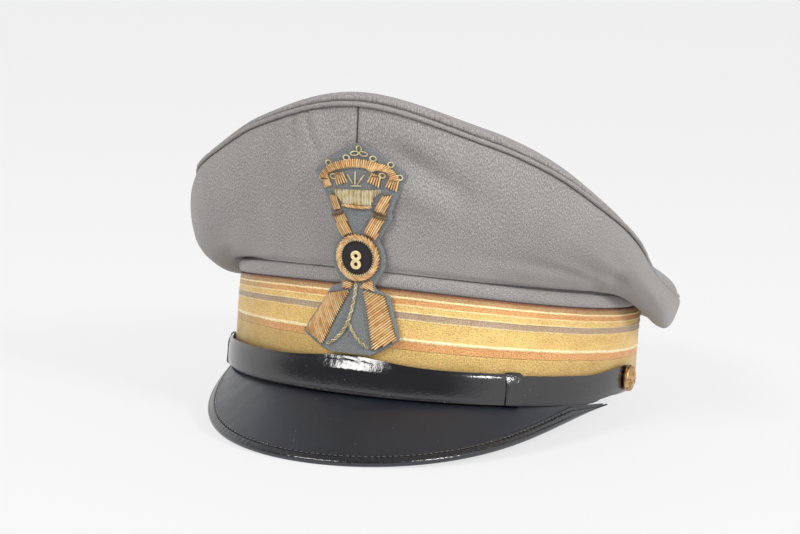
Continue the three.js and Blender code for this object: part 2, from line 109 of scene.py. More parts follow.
def surface(name, points, around=False, across=False, capped=False, flat=None):
    """A mesh over grids of points, (rows, columns, 3) or (copies, rows, columns, 3). `around`
    joins the last row to the first, `across` the last column to the first, and `capped` closes
    the first and last row with a face. Its UV map is the distance along rows and columns, in
    metres, or `flat` at each point; its attribute `copy` is a number from 0 to 1 for each copy."""
    grids = points if points.ndim == 4 else points[None]
    copies, rows, columns, _ = grids.shape
    i, j = np.meshgrid(np.arange(rows if around else rows - 1),
                       np.arange(columns if across else columns - 1), indexing="ij")
    i, j = i.ravel(), j.ravel()
    row = np.stack([i, i + 1, i + 1, i], axis=1)
    column = np.stack([j, j, j + 1, j + 1], axis=1)
    corners = (row % rows) * columns + column % columns
    row_steps = np.linalg.norm(np.roll(grids, -1, axis=1) - grids, axis=3).mean(axis=(0, 2))
    column_steps = np.linalg.norm(np.roll(grids, -1, axis=2) - grids, axis=3).mean(axis=(0, 1))
    along_rows = np.concatenate([[0], np.cumsum(row_steps)])
    along_columns = np.concatenate([[0], np.cumsum(column_steps)])
    layout = np.stack([along_rows[row], along_columns[column]], axis=-1)
    if flat is not None:
        layout = flat.reshape(-1, 2)[corners]
    faces = corners.tolist()
    layouts = layout.reshape(-1, 2)
    if capped:
        end = np.arange(columns)
        faces += [end.tolist(), (end + (rows - 1) * columns)[::-1].tolist()]
        ends = np.stack([np.full(columns, along_rows[0]), along_columns[end]], axis=-1)
        layouts = np.concatenate([layouts, ends, ends[::-1]])
    solid = grids[0].reshape(-1, 3) - grids[0].reshape(-1, 3).mean(axis=0)
    size = np.einsum("ij,ij->", solid[corners[:, 0]], np.cross(solid[corners[:, 1]], solid[corners[:, 2]]))
    size += np.einsum("ij,ij->", solid[corners[:, 0]], np.cross(solid[corners[:, 2]], solid[corners[:, 3]]))
    if size < 0:
        lengths = [len(face) for face in faces]
        starts = np.concatenate([[0], np.cumsum(lengths)])
        order = np.concatenate([np.arange(a, b)[::-1] for a, b in zip(starts[:-1], starts[1:])])
        faces = [face[::-1] for face in faces]
        layouts = layouts[order]
    every = [[corner + k * rows * columns for corner in face] for k in range(copies) for face in faces]
    mesh = bpy.data.meshes.new(name)
    mesh.from_pydata(grids.reshape(-1, 3).tolist(), [], every)
    mesh.uv_layers.new(name="UVMap").data.foreach_set("uv", np.tile(layouts, (copies, 1)).ravel())
    shade = mesh.attributes.new("copy", "FLOAT", "POINT")
    each = (np.arange(copies) * 0.61803) % 1
    shade.data.foreach_set("value", np.repeat(each, rows * columns))
    doubles = bmesh.new()
    doubles.from_mesh(mesh)
    bmesh.ops.remove_doubles(doubles, verts=doubles.verts, dist=1e-7)
    doubles.to_mesh(mesh)
    doubles.free()
    mesh.shade_smooth()
    mesh.set_sharp_from_angle(angle=math.radians(48))
    piece = bpy.data.objects.new(name, mesh)
    bpy.context.scene.collection.objects.link(piece)
    return piece


def fit(piece, material, slot, *nodes):
    """Gives a piece its material, hangs it under the empty body:root and hides the CAD nodes it stands in
    for. The slot is not used.
    """
    piece.data.materials.append(material)
    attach(piece, "root")
    if nodes:
        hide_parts(*nodes)
    return piece


def finish_of(name, constants):
    """A material whose Principled shader has these constants on its own sockets."""
    material = bpy.data.materials.new(name)
    material.use_nodes = True
    shader = material.node_tree.nodes["Principled BSDF"]
    for socket, value in constants.items():
        shader.inputs[socket].default_value = value
    return material, shader


def add(material, kind, inputs=(), **settings):
    """Adds a shader node with settings, and feeds its inputs with numbers or with other outputs."""
    node = material.node_tree.nodes.new("ShaderNode" + kind)
    for key, value in settings.items():
        setattr(node, key, value)
    for key, value in dict(inputs).items():
        if isinstance(value, bpy.types.NodeSocket):
            material.node_tree.links.new(value, node.inputs[key])
        else:
            node.inputs[key].default_value = value
    return node


def mapped(material, scale, turn=0.0, source="UV"):
    """The piece's own UV map or object coordinates, turned about Z and scaled to repeats a metre."""
    place = add(material, "TexCoord").outputs[source]
    return add(material, "Mapping", {"Vector": place, "Scale": scale, "Rotation": (0, 0, turn)}).outputs[0]


def ramp(material, value, stops):
    """A colour ramp through (place, colour) stops."""
    node = add(material, "ValToRGB", {"Fac": value})
    first, last = node.color_ramp.elements
    first.position, first.color = stops[0][0], (*stops[0][1], 1)
    last.position, last.color = stops[-1][0], (*stops[-1][1], 1)
    for place, colour in stops[1:-1]:
        node.color_ramp.elements.new(place).color = (*colour, 1)
    return node.outputs["Color"]


def combine(material, how, first, second):
    """The sum, product or other Math mix of two numbers or outputs."""
    return add(material, "Math", {0: first, 1: second}, operation=how).outputs[0]


def tint(material, how, amount, first, second):
    """One colour laid over another by a blend mode; the amount may be an output."""
    node = add(material, "Mix", {"Factor": amount}, data_type="RGBA", blend_type=how)
    for socket, value in ((6, first), (7, second)):
        if isinstance(value, bpy.types.NodeSocket):
            material.node_tree.links.new(value, node.inputs[socket])
        else:
            node.inputs[socket].default_value = (*value, 1)
    return node.outputs[2]


def join(material, source, shader, socket):
    """Links an output to one of the shader's sockets."""
    material.node_tree.links.new(source, shader.inputs[socket])


def raised(material, shader, height, distance):
    """Feeds a height in shares of `distance` metres to the shader as a bump."""
    bump = add(material, "Bump", {"Height": height, "Distance": distance, "Strength": 1.0})
    join(material, bump.outputs["Normal"], shader, "Normal")


def noise(material, scale, detail=2.0, roughness=0.5, turn=0.0, source="UV"):
    """Cloud noise over the mapped coordinates; detail is its finer layers, roughness their weight."""
    return add(material, "TexNoise", {"Vector": mapped(material, scale, turn, source), "Scale": 1.0,
                                      "Detail": detail, "Roughness": roughness}).outputs[0]


def wave(material, pitch, turn=0.0, wander=0.0, detail=2.0, fine=1.0, source="UV", bands="X"):
    """Sine bands across the mapped coordinates, turned by an angle and bent by noise."""
    return add(material, "TexWave", {"Vector": mapped(material, (1, 1, 1), turn, source), "Scale": pitch,
                                     "Distortion": wander, "Detail": detail, "Detail Scale": fine},
               bands_direction=bands).outputs["Fac"]


def spread(material, value, low, high, first, last):
    """The value carried evenly from the range low to high over to the range first to last."""
    return add(material, "MapRange", {"Value": value, "From Min": low, "From Max": high, "To Min": first,
                                      "To Max": last}).outputs[0]


def wool_cloth(name, source, dark, light):
    """Fulled wool: mixed dark and pale fibres of two sizes, a faint twill under them, and a slow
    change of nap. The fibres' noise is a third longer up the cloth than round it."""
    wool, shader = finish_of(name, {"Roughness": 0.92, "Specular IOR Level": 0.18, "Sheen Weight": 0.22,
                                    "Sheen Roughness": 0.45, "Sheen Tint": (0.9, 0.9, 0.92, 1)})
    fibres = noise(wool, (2100, 1550, 1800), 6.0, 0.8, source=source)
    nap = noise(wool, (60, 45, 50), 3.0, source=source)
    hairs = noise(wool, (2600, 1500, 2000), 2.0, 0.7, 0.5, source)
    twill = wave(wool, 420.0, 0.9, 1.2, 2.0, 3.0, source)
    middle = tuple((a + b) / 2 for a, b in zip(dark, light))
    mixed = ramp(wool, fibres, [(0.37, dark), (0.5, middle), (0.63, light)])
    rubbed_nap = ramp(wool, nap, [(0.35, (0.86, 0.86, 0.87)), (0.7, (1, 1, 0.99))])
    worn = tint(wool, "MULTIPLY", 0.5, mixed, rubbed_nap)
    pale = ramp(wool, hairs, [(0.36, (0.72, 0.72, 0.73)), (0.5, (1, 1, 1)), (0.64, (1.34, 1.33, 1.32))])
    join(wool, tint(wool, "MULTIPLY", 1.0, worn, pale), shader, "Base Color")
    height = combine(wool, "ADD", combine(wool, "MULTIPLY", twill, 0.2), combine(wool, "ADD", fibres, hairs))
    raised(wool, shader, height, 0.00014)
    return wool


grey_wool = wool_cloth("grey_wool", "UV", (0.176, 0.168, 0.163), (0.430, 0.411, 0.399))


def lace_top(bearing):
    """Height of the lace's upper edge: 42.5 mm in front, 5 mm lower at the sides."""
    return 42.5 - 5 * np.sin(np.radians(bearing)) ** 2


def rounded_box(width, height, radius, count):
    """A closed rounded rectangle about the origin, as two arrays of `count` points."""
    turn = np.linspace(0, 2 * np.pi, count, endpoint=False) + np.pi / 4
    power = 0.5 * (min(width, height) / radius) ** 0.5
    reach = (np.abs(np.cos(turn)) ** (2 * power) + np.abs(np.sin(turn)) ** (2 * power)) ** (-1 / (2 * power))
    return width / 2 * np.cos(turn) * reach, height / 2 * np.sin(turn) * reach


band_wall = 2.5
band_bearing = all_round(360)
shell_out, shell_up = rounded_box(band_wall, 1.0, 0.5, 48)
band_up = lace_top(band_bearing) * (0.5 + shell_up)
band_grid = beside_head(band_bearing, 0.05 - band_wall + shell_out, band_up)
band = surface("band_wool", on_table(band_grid), around=True, across=True)
fit(band, grey_wool, "wool", "band")

# The gold lace: one 37 mm strip of metal thread woven in stripes, with raised wire lines between
# them. It is sewn round the band and its ends overlap at the back of the head.
strip_height = 37.5
strip_per_degree = 1.62
lace_stripes_and_shade = [
    # distance below the upper edge in millimetres, colour
    # The dark brown of the first 0.7 mm below the upper edge is painted shade under the welt.
    (0.0, (0.22, 0.09, 0.04)), (0.7, (0.30, 0.14, 0.07)), (1.2, (0.47, 0.29, 0.14)),
    (2.6, (0.52, 0.33, 0.15)), (2.9, (0.98, 0.84, 0.50)), (3.4, (0.98, 0.82, 0.46)),
    (3.7, (0.76, 0.40, 0.16)), (5.7, (0.74, 0.38, 0.15)), (6.0, (0.96, 0.80, 0.44)),
    (6.3, (0.92, 0.72, 0.34)), (6.6, (0.82, 0.58, 0.22)), (8.7, (0.84, 0.60, 0.23)),
    (8.9, (0.98, 0.82, 0.46)), (9.3, (0.46, 0.34, 0.24)), (11.8, (0.48, 0.36, 0.25)),
    (12.1, (0.96, 0.76, 0.38)), (12.5, (0.80, 0.555, 0.20)), (19.7, (0.84, 0.585, 0.22)),
    (20.0, (1.0, 0.90, 0.58)), (21.0, (1.0, 0.86, 0.50)), (21.3, (0.74, 0.38, 0.155)),
    (24.3, (0.74, 0.40, 0.165)), (24.6, (0.42, 0.27, 0.10)), (24.9, (0.66, 0.46, 0.165)),
    (31.0, (0.58, 0.40, 0.145)), (37.5, (0.44, 0.29, 0.10)),
]
rubbed_copper = (0.60, 0.41, 0.165)
raised_lines = np.array([
    # distance below the upper edge, how far it stands out, half width
    (3.15, 0.22, 0.4), (6.15, 0.16, 0.25), (9.0, 0.2, 0.25), (12.1, 0.18, 0.25), (20.5, 0.30, 0.5),
    (24.75, -0.14, 0.2),
])


def stripe_shrink(bearing):
    """Share by which the stripes run closer together: 13 per cent on the wearer's right, none on
    the left, with a soft change between, because the strip was drawn in as it was sewn."""
    return 1 - 0.13 / (1 + np.exp(np.clip((bearing + 5) / 14, -40, 40)))


def lace_relief(below_top, bearing):
    """How far the lace stands off the band: bell-shaped raised lines at fixed distances below its
    top edge, slow waves round the head, and the overlap of its ends behind."""
    place, height, half_width = raised_lines.T
    lines = (height * bell((below_top[..., None] - place) / half_width)).sum(axis=-1)
    waves = 0.10 * ripple(bearing, 7, below_top * 0.2) + 0.06 * ripple(bearing, 23)
    overlap = 0.45 / (1 + np.exp(np.clip((176.5 - bearing) * 6, -40, 40)))
    return lines + waves + overlap


lace_bearing = all_round(720)
lace_down = np.linspace(0, 1, 150)[None, :]
lace_back_up = np.linspace(1, 0, 4)[None, :]
lace_length = lace_top(lace_bearing) - 5.0
stripe_place = lace_down * strip_height / stripe_shrink(lace_bearing)
lace_face = beside_head(lace_bearing, lace_relief(stripe_place, lace_bearing) - 0.16,
                        lace_top(lace_bearing) - lace_down * lace_length)
lace_back = beside_head(lace_bearing, -0.95, lace_top(lace_bearing) - lace_back_up * lace_length)
lace_under = np.broadcast_to(lace_back_up * strip_height, (len(lace_bearing), 4))
lace_layout = stacked(lace_bearing * strip_per_degree, np.concatenate([stripe_place, lace_under], axis=1))
gold_lace = surface("gold_lace_woven", on_table(np.concatenate([lace_face, lace_back], axis=1)), around=True,
                    across=True, flat=lace_layout / 1000)

lace_gold, shader = finish_of("striped_gold_lace", {"Metallic": 0.5, "Specular IOR Level": 0.5})
along_strip, down_strip = add(lace_gold, "SeparateXYZ", {0: mapped(lace_gold, (1, 1, 1))}).outputs[:2]
waver = combine(lace_gold, "SUBTRACT", noise(lace_gold, (60, 30, 1)), 0.5)
waver = combine(lace_gold, "MULTIPLY", waver, 0.0006)
share = combine(lace_gold, "DIVIDE", combine(lace_gold, "ADD", down_strip, waver), strip_height / 1000)
stripes_and_shade = ramp(lace_gold, share, [(place / strip_height, colour) for place, colour in lace_stripes_and_shade])
# Towards the wearer's right ear the copper, the stripes whose red is over 1.8 times their green, is
# rubbed to a plain dull gold, and the lace is darkened by up to 12 per cent: painted shade on the
# side away from the right lamp.
rubbed_stripes_and_shade = [
    (place / strip_height, rubbed_copper if place > 1 and colour[0] > 1.8 * colour[1] else colour)
    for place, colour in lace_stripes_and_shade]
rubbed_and_shaded = spread(lace_gold, along_strip, -0.043, -0.068, 0.0, 0.9)
stripes_and_shade = tint(lace_gold, "MIX", rubbed_and_shaded, stripes_and_shade, ramp(lace_gold, share, rubbed_stripes_and_shade))
# Painted shade: the lace darker towards the wearer's right, away from the right lamp.
stripes_and_shade = tint(lace_gold, "MULTIPLY", rubbed_and_shaded, stripes_and_shade, (0.87, 0.87, 0.84))
threads = noise(lace_gold, (1100, 1900, 1), 4.0, 0.75)
tarnish = noise(lace_gold, (90, 160, 1), 6.0, 0.7)
grain = ramp(lace_gold, threads, [(0.36, (0.46, 0.40, 0.32)), (0.5, (1, 1, 1)), (0.66, (1.45, 1.42, 1.34))])
dull = ramp(lace_gold, tarnish, [(0.34, (0.78, 0.70, 0.60)), (0.56, (1, 1, 1))])
grained = tint(lace_gold, "MULTIPLY", 0.8, stripes_and_shade, grain)
join(lace_gold, tint(lace_gold, "MULTIPLY", 0.55, grained, dull), shader, "Base Color")
picks = wave(lace_gold, 330.0, 0.0, 3.0, 1.0, 6.0)
courses = wave(lace_gold, 520.0, 0.0, 0.3, bands="Y")
crossing = combine(lace_gold, "MULTIPLY", combine(lace_gold, "MULTIPLY", picks, courses), 0.25)
raised(lace_gold, shader, combine(lace_gold, "ADD", crossing, threads), 0.00022)
join(lace_gold, spread(lace_gold, tarnish, 0.3, 0.7, 0.52, 0.36), shader, "Roughness")
fit(gold_lace, lace_gold, "gold_lace", "gold_lace")

# The welt: a padded roll of the same wool, 6 mm high, sewn where the crown meets the band. The
# padding shows as slight swells and pinches round it.


def rounder(value, power):
    """A sine or cosine raised to a power with its sign kept, which makes an oval squarer."""
    return np.sign(value) * np.abs(value) ** power


welt_turn = np.linspace(0, 2 * np.pi, 33)[None, :-1]
welt_bearing = all_round(540)
swell = 1 + 0.035 * ripple(welt_bearing, 17) + 0.025 * ripple(welt_bearing, 41, 2)
welt_out = -1.5 + 2.15 * swell * rounder(np.cos(welt_turn), 0.8)
welt_up = lace_top(welt_bearing) + 3.2 + 3.0 * rounder(np.sin(welt_turn), 0.9)
welt = surface("welt_wool", on_table(beside_head(welt_bearing, welt_out, welt_up)), around=True, across=True)
fit(welt, grey_wool, "wool", "welt")

# The crown's side: two wool panels joined by a seam up the front and one behind. The section at
# each bearing is a smooth curve from the welt out to a belly and back in to the top seam.
crown_table = np.array([
    # bearing, low out and up, belly out and up, seam out and up, roll above the seam
    (-150, 16, 30, 28, 34, 28, 39, 4.5),
    (-120, 15.1, 32, 25, 41, 23, 48, 4),
    (-90, 16.3, 34.8, 22.7, 49, 18.1, 60, 3.5),
    (-75, 16.6, 41.0, 23.1, 55.5, 18.3, 69, 3.4),
    (-60, 14.5, 48.9, 23, 64.6, 20.5, 81.9, 3.6),
    (-45, 11, 57.9, 18.6, 76.1, 16, 92.8, 5.1),
    (-30, 7, 66, 13.5, 86, 13, 103.9, 5.6),
    (0, 5.2, 71, 10.6, 93, 13.6, 116.1, 7),
    (30, 7, 66, 13.5, 86, 14.3, 104.4, 6.6),
    (45, 9.7, 60.3, 16.5, 76.4, 17.6, 94.4, 5.5),
    (60, 12, 54.5, 19, 65.1, 18.8, 79.3, 3.8),
    (75, 10.2, 46.5, 16.7, 53.4, 12.1, 67.7, 1.2),
    (90, 11, 33.8, 17.1, 40.6, 7.1, 55.3, 1.2),
    (105, 8.9, 28, 15.3, 35.6, 8, 47, 2.3),
    (120, 12.1, 26.4, 17.4, 34.1, 15.6, 41, 5),
    (135, 15.4, 27, 26.3, 31.4, 25.5, 37.4, 6.6),
    (150, 16, 28, 28, 33, 28, 37, 6.2),
    (180, 16, 29, 27, 33, 27, 38.5, 5),
], dtype=float)


def crown_at(bearing):
    """The crown's seven sizes at each bearing: a cubic through the table's rows whose slope at a
    row is that between its two neighbours, and which runs on round the head."""
    places = np.concatenate([crown_table[-1:, 0] - 360, crown_table[:, 0], crown_table[:2, 0] + 360])
    sizes = np.concatenate([crown_table[-1:, 1:], crown_table[:, 1:], crown_table[:2, 1:]])
    turned = np.mod(bearing + 150, 360) - 150
    i = np.clip(np.searchsorted(places, turned, side="right") - 1, 1, len(crown_table))
    span = (places[i + 1] - places[i])[..., None]
    w = (turned - places[i])[..., None] / span
    slope = (sizes[i + 1] - sizes[i - 1]) / (places[i + 1] - places[i - 1])[..., None] * span
    slope_next = (sizes[i + 2] - sizes[i]) / (places[i + 2] - places[i])[..., None] * span
    return ((2 * w**3 - 3 * w**2 + 1) * sizes[i] + (w**3 - 2 * w**2 + w) * slope
            + (3 * w**2 - 2 * w**3) * sizes[i + 1] + (w**3 - w**2) * slope_next)


def side_section(bearing, s):
    """The cubic through foot, low part, belly and seam at s = 0, 1/3, 2/3 and 1: the distances
    out and up, and the section's outward normal."""
    sizes = crown_at(bearing)
    outs = [0.4, sizes[..., 0], sizes[..., 2], sizes[..., 4]]
    ups = [lace_top(bearing) + 6.5, sizes[..., 1], sizes[..., 3], sizes[..., 5] - 0.15]
    weights = [-4.5 * (s - 1 / 3) * (s - 2 / 3) * (s - 1), 13.5 * s * (s - 2 / 3) * (s - 1),
               -13.5 * s * (s - 1 / 3) * (s - 1), 4.5 * s * (s - 1 / 3) * (s - 2 / 3)]
    rates = [-13.5 * s * s + 18 * s - 5.5, 40.5 * s * s - 45 * s + 9,
             -40.5 * s * s + 36 * s - 4.5, 13.5 * s * s - 9 * s + 1]
    out = sum(a * b for a, b in zip(weights, outs))
    up = sum(a * b for a, b in zip(weights, ups))
    run = sum(a * b for a, b in zip(rates, outs))
    climb = sum(a * b for a, b in zip(rates, ups))
    length = np.hypot(run, climb)
    return out, up, climb / length, -run / length


cloth_thick = 1.6
mm_per_degree = 1.7
folds = [
    # bearing, share of the way up, half-lengths along (degrees) and across (shares), rise of its
    # line for each 90 degrees, drift for each share up (degrees), how far it stands out (mm)
    (14, 0.70, 8, 0.085, -0.80, 0, -3.0), (14, 0.53, 9, 0.100, -0.80, 0, 1.6),
    (26, 0.60, 6, 0.08, -0.5, 0, -0.9), (19, 0.84, 7, 0.08, -0.40, 0, 0.8),
    (4, 0.45, 5, 0.20, 0.3, 0, -0.4), (-19.5, 0.92, 1.2, 0.20, 0, -4, 0.5),
    (-16.8, 0.94, 0.75, 0.20, 0, -3, -1.05), (-14.6, 0.92, 0.8, 0.18, 0, -8, 0.5),
    (-12.4, 0.90, 0.8, 0.16, 0, -12, -1.1), (-10.0, 0.86, 1.2, 0.18, 0, -12, 0.4),
    (-22.5, 0.93, 1.0, 0.10, 0, -3, -0.4), (-16, 0.52, 4.0, 0.20, 0.2, 0, 0.8),
    (-26, 0.55, 6, 0.22, 0.2, 0, -0.6), (40, 0.22, 14, 0.05, 0.15, 0, -0.5),
    (52, 0.24, 12, 0.06, -0.3, 0, -0.8), (66.5, 0.06, 1.6, 0.12, 0, 0, -0.9),
    (69, 0.40, 3.5, 0.13, -0.8, 0, -1.5), (62, 0.52, 9, 0.08, -0.5, 0, 0.8),
    (58, 0.36, 7, 0.05, -0.4, 0, -0.5), (77, 0.60, 6, 0.10, -0.6, 0, 0.7),
    (84, 0.45, 6, 0.12, -0.4, 0, -0.8), (-32, 0.80, 6, 0.10, 0.3, 0, 0.5),
    (-44, 0.35, 12, 0.10, 0.4, 0, -0.9), (-60, 0.5, 10, 0.12, 0.5, 0, 0.9),
    (-75, 0.32, 9, 0.08, 0.5, 0, -1.1), (-55, 0.16, 9, 0.06, 0.3, 0, -0.6),
    (108, 0.55, 5, 0.25, 0.2, 0, -0.9), (125, 0.45, 6, 0.2, -0.3, 0, 0.8),
    (152, 0.5, 8, 0.15, 0.2, 0, -0.7), (-120, 0.45, 9, 0.12, 0.3, 0, -0.8),
    (-150, 0.5, 8, 0.15, -0.3, 0, 0.7),
]


def fold_height(bearing, s):
    """The sum of the folds, each a bell across and along its slanted line, and of slow ripples,
    faded out over the first 6 and the last 3 hundredths of the way from the welt to the seam."""
    total = 0.14 * ripple(bearing, 9, 4 * s) + 0.10 * ripple(bearing, 21, -7 * s)
    total = total + 0.06 * ripple(bearing, 47, 11 * s) * np.sin(7 * s + 1)
    for place, height, wide, tall, rise, drift, depth in folds:
        level = (bearing - place - drift * (s - height)) / wide
        above = (s - height - rise * (bearing - place) / 90) / tall
        total = total + depth * bell(level) * bell(above)
    return total * (1 - bell(s / 0.06)) * (1 - bell((1 - s) / 0.03))


def side_panel(bearing, s, depth):
    """The panel's face, or the face `depth` mm behind it: the section moved by the folds along
    its normal, and turned in by bells at its four seams, with a low ridge 2 mm beside the front
    and the rear one."""
    out, up, normal_out, normal_up = side_section(bearing, s)
    to_seam = np.minimum(np.abs(bearing), 180 - np.abs(bearing)) * mm_per_degree
    turned_in = 0.9 * bell(to_seam / 0.7) - 0.25 * bell((to_seam - 2.0) / 1.2)
    to_foot = 1.1 * bell(s / 0.03) + 0.5 * bell((1 - s) / 0.02)
    lift = fold_height(bearing, s) - turned_in - to_foot - depth
    return beside_head(bearing, out + lift * normal_out, up + lift * normal_up)


def panel_grid(first, last):
    """Rows of bearings, close together at the seams; columns up the face and down its back."""
    bunch = np.pi / 2 * 0.97
    step = np.sin(np.linspace(-1, 1, 301) * bunch) / math.sin(bunch)
    bearing = (first + last) / 2 + (last - first) / 2 * step
    rise = (1 - np.cos(np.linspace(0, np.pi, 81))) / 2
    face = side_panel(bearing[:, None], rise[None, :], 0)
    back = side_panel(bearing[:, None], rise[None, ::-4], cloth_thick)
    return on_table(np.concatenate([face, back], axis=1))


for side, first, last in (("left", 0.12, 179.88), ("right", -179.88, -0.12)):
    panel = surface(f"crown_side_{side}", panel_grid(first, last), across=True, capped=True)
    fit(panel, grey_wool, "wool", f"side_panel_{side}")

# The crown's top: one oval wool panel that turns down in a narrow roll at its edge, with a thin
# wool-covered cord sewn into the seam below the roll.
crest_front = np.array([-113.6, 115.1])
crest_rear = np.array([127.0, 38.5])
pole_along = 6
middle_roll = 4.5


def crest_height(along):
    """Height of the crown's middle line: straight from the high front to the low rear, and 4 mm
    higher half way between them."""
    share = (along - crest_front[0]) / (crest_rear[0] - crest_front[0])
    return crest_front[1] + (crest_rear[1] - crest_front[1]) * share + 4 * np.sin(np.pi * share)


def top_panel(bearing, share, depth):
    """The top at a share of the way from its pole to its seam: the middle line's height, less the
    side's fall times the share squared, plus a roll that drops off in the last 2 mm. The roll's
    wall swells by half a sine of its height and is drawn in by 0.8 mm at the seam. The panel has
    lumps of 0.7 mm, two plane waves multiplied, which fade over its last eighth."""
    sizes = crown_at(bearing)
    seam_out, seam_up, seam_roll = sizes[..., 4], sizes[..., 5], sizes[..., 6]
    seam = beside_head(bearing, seam_out, seam_up)
    wall = np.sqrt(np.clip(1 - share**34, 0, 1))
    swelling = np.where(share > 0.8, 0.4 * np.sin(np.pi * wall) - 0.8 * bell(wall / 0.13), 0)
    plan = beside_head(bearing, seam_out - depth * 1.4 + swelling, seam_up)
    across = plan[..., 0] * share
    along = pole_along + (plan[..., 1] - pole_along) * share
    fall = (crest_height(seam[..., 1]) - seam[..., 2]) * share**2
    roll = (middle_roll + (seam_roll - middle_roll) * share**2) * wall + 0.5 * (1 - wall)
    crest = crest_height(pole_along + (seam[..., 1] - pole_along) * share)
    lumps = 0.7 * np.sin(across / 19 + along / 31 + 1) * np.sin(along / 24 - across / 43)
    lumps = lumps * np.clip((1 - share) * 8, 0, 1)
    behind = np.where(share >= 1, 0.0, depth)
    return stacked(across, along, crest - fall + roll - behind + lumps + 0.15)


top_bearing = all_round(360)
top_share = 1 - np.linspace(0, 1, 70)[None, :] ** 2.2
top_face = top_panel(top_bearing, top_share, 0)
top_back = top_panel(top_bearing, top_share[:, ::-4][:, :-1], cloth_thick)
top_grid = np.concatenate([top_face, top_back], axis=1)
crown_top = surface("crown_top", on_table(top_grid), around=True, across=True, flat=top_grid[..., :2] / 1000)
fit(crown_top, grey_wool, "wool", "top_panel")

pipe_bearing = all_round(720)
pipe_out, pipe_up, pipe_normal_out, pipe_normal_up = side_section(pipe_bearing, np.ones((1, 1)))
bisector = unit(np.stack([pipe_normal_out + 1, pipe_normal_up], axis=-1)) * 0.85
pipe_turn = np.linspace(0, 2 * np.pi, 17)[None, :-1]
pipe_radius = 0.96 + 0.04 * ripple(pipe_bearing, 67) + 0.04 * ripple(pipe_bearing, 103)
piping = beside_head(pipe_bearing, pipe_out + bisector[..., 0] + pipe_radius * np.cos(pipe_turn),
                     pipe_up + bisector[..., 1] + pipe_radius * np.sin(pipe_turn))
seam_piping = surface("seam_piping", on_table(piping), around=True, across=True)
fit(seam_piping, grey_wool, "wool", "edge_piping")

# The peak: stiff leather under many coats of black lacquer, polished smooth, with the faint waves
# and fine scratches that handling leaves.
peak_reach = 38.4
peak_drop = 23.2
peak_span = 93.8
root_out, root_up = 0.5, -1.9


def peak_edge(bearing):
    """How far out and down the peak reaches: cosine powers of the bearing over 93.8 degrees."""
    fade = np.clip(np.cos(np.radians(bearing) / np.radians(peak_span) * np.pi / 2), 0, 1)
    return peak_reach * fade**3.4, peak_drop * fade**2.136


def on_peak(bearing, distance, lift):
    """A point of the peak: a distance from its root towards its edge, lifted square to its face.
    The fall starts level at the root and soon runs even: s - 0.1 (1 - exp(-s / 0.1))."""
    out, down = peak_edge(bearing)
    length = np.hypot(out, down)
    share = distance / length
    fall = (share - 0.1 * (1 - np.exp(-share / 0.1))) / 0.9
    return beside_head(bearing, root_out + out * share + down / length * lift,
                       root_up - down * fall + out / length * lift)


def lacquer(name, waviness, scale, smoothest, dullest, grain, black_coat=(0.0055, 0.0055, 0.0075)):
    """Black lacquer: gloss over low slow waves and a fine leather grain, duller where dust and
    rubbing have reached it."""
    black, gloss = finish_of(name, {"Specular IOR Level": 0.9})
    waves = combine(black, "MULTIPLY", noise(black, scale), waviness)
    fine = combine(black, "MULTIPLY", noise(black, (1400, 1400, 1)), grain)
    scuffs = noise(black, (110, 80, 1), 5.0, 0.75, 0.3)
    join(black, spread(black, scuffs, 0.40, 0.75, smoothest, dullest), gloss, "Roughness")
    motes = add(black, "TexVoronoi", {"Vector": mapped(black, (260, 260, 1)), "Scale": 1.0})
    dust = [(0.0, (0.22, 0.22, 0.22)), (0.045, (0.09, 0.09, 0.09)), (0.075, black_coat)]
    join(black, ramp(black, motes.outputs["Distance"], dust), gloss, "Base Color")
    raised(black, gloss, combine(black, "ADD", waves, fine), 0.001)
    return black


peak_lacquer = lacquer("peak_lacquer", 0.06, (60, 80, 1), 0.36, 0.46, 0.02, (0.006, 0.009, 0.016))
peak_bearing = np.linspace(-77, 77, 331)[:, None]


def binding_inner(bearing):
    """Distance of the binding's inner edge from the peak's root: 5 mm short of the peak's edge,
    but at least 1.3 mm, or half way out where the peak reaches less than 2.6 mm."""
    length = np.hypot(*peak_edge(bearing))
    return np.maximum(np.minimum(1.3, length * 0.5), length - 5.0)


peak_share = np.linspace(0, 1, 40)[None, :]
peak_distance = 0.2 + peak_share * (binding_inner(peak_bearing) + 0.1)
hollow = (0.05 * ripple(peak_bearing, 11) - 0.15) * np.sin(np.pi * peak_share)
peak_face = on_peak(peak_bearing, peak_distance, hollow)
peak_back = on_peak(peak_bearing, peak_distance[:, ::-3], -2.0)
peak_grid = on_table(np.concatenate([peak_face, peak_back], axis=1))
peak = surface("peak_lacquered", peak_grid, across=True, capped=True)
fit(peak, peak_lacquer, "lacquered_leather", "peak")

strip_bearing = np.linspace(-75.5, 75.5, 241)[:, None]
strip_out, strip_up = rounded_box(0.6, 4.4, 0.2, 16)
strip_share = np.clip(1 - (strip_bearing / 76) ** 12, 0, 1) ** 0.5
strip_grid = beside_head(strip_bearing, 0.35 + strip_out, 0.4 + (strip_up - 0.75) * strip_share)
root_strip = surface("peak_root_strip", on_table(strip_grid), across=True, capped=True)
fit(root_strip, peak_lacquer, "lacquered_leather")

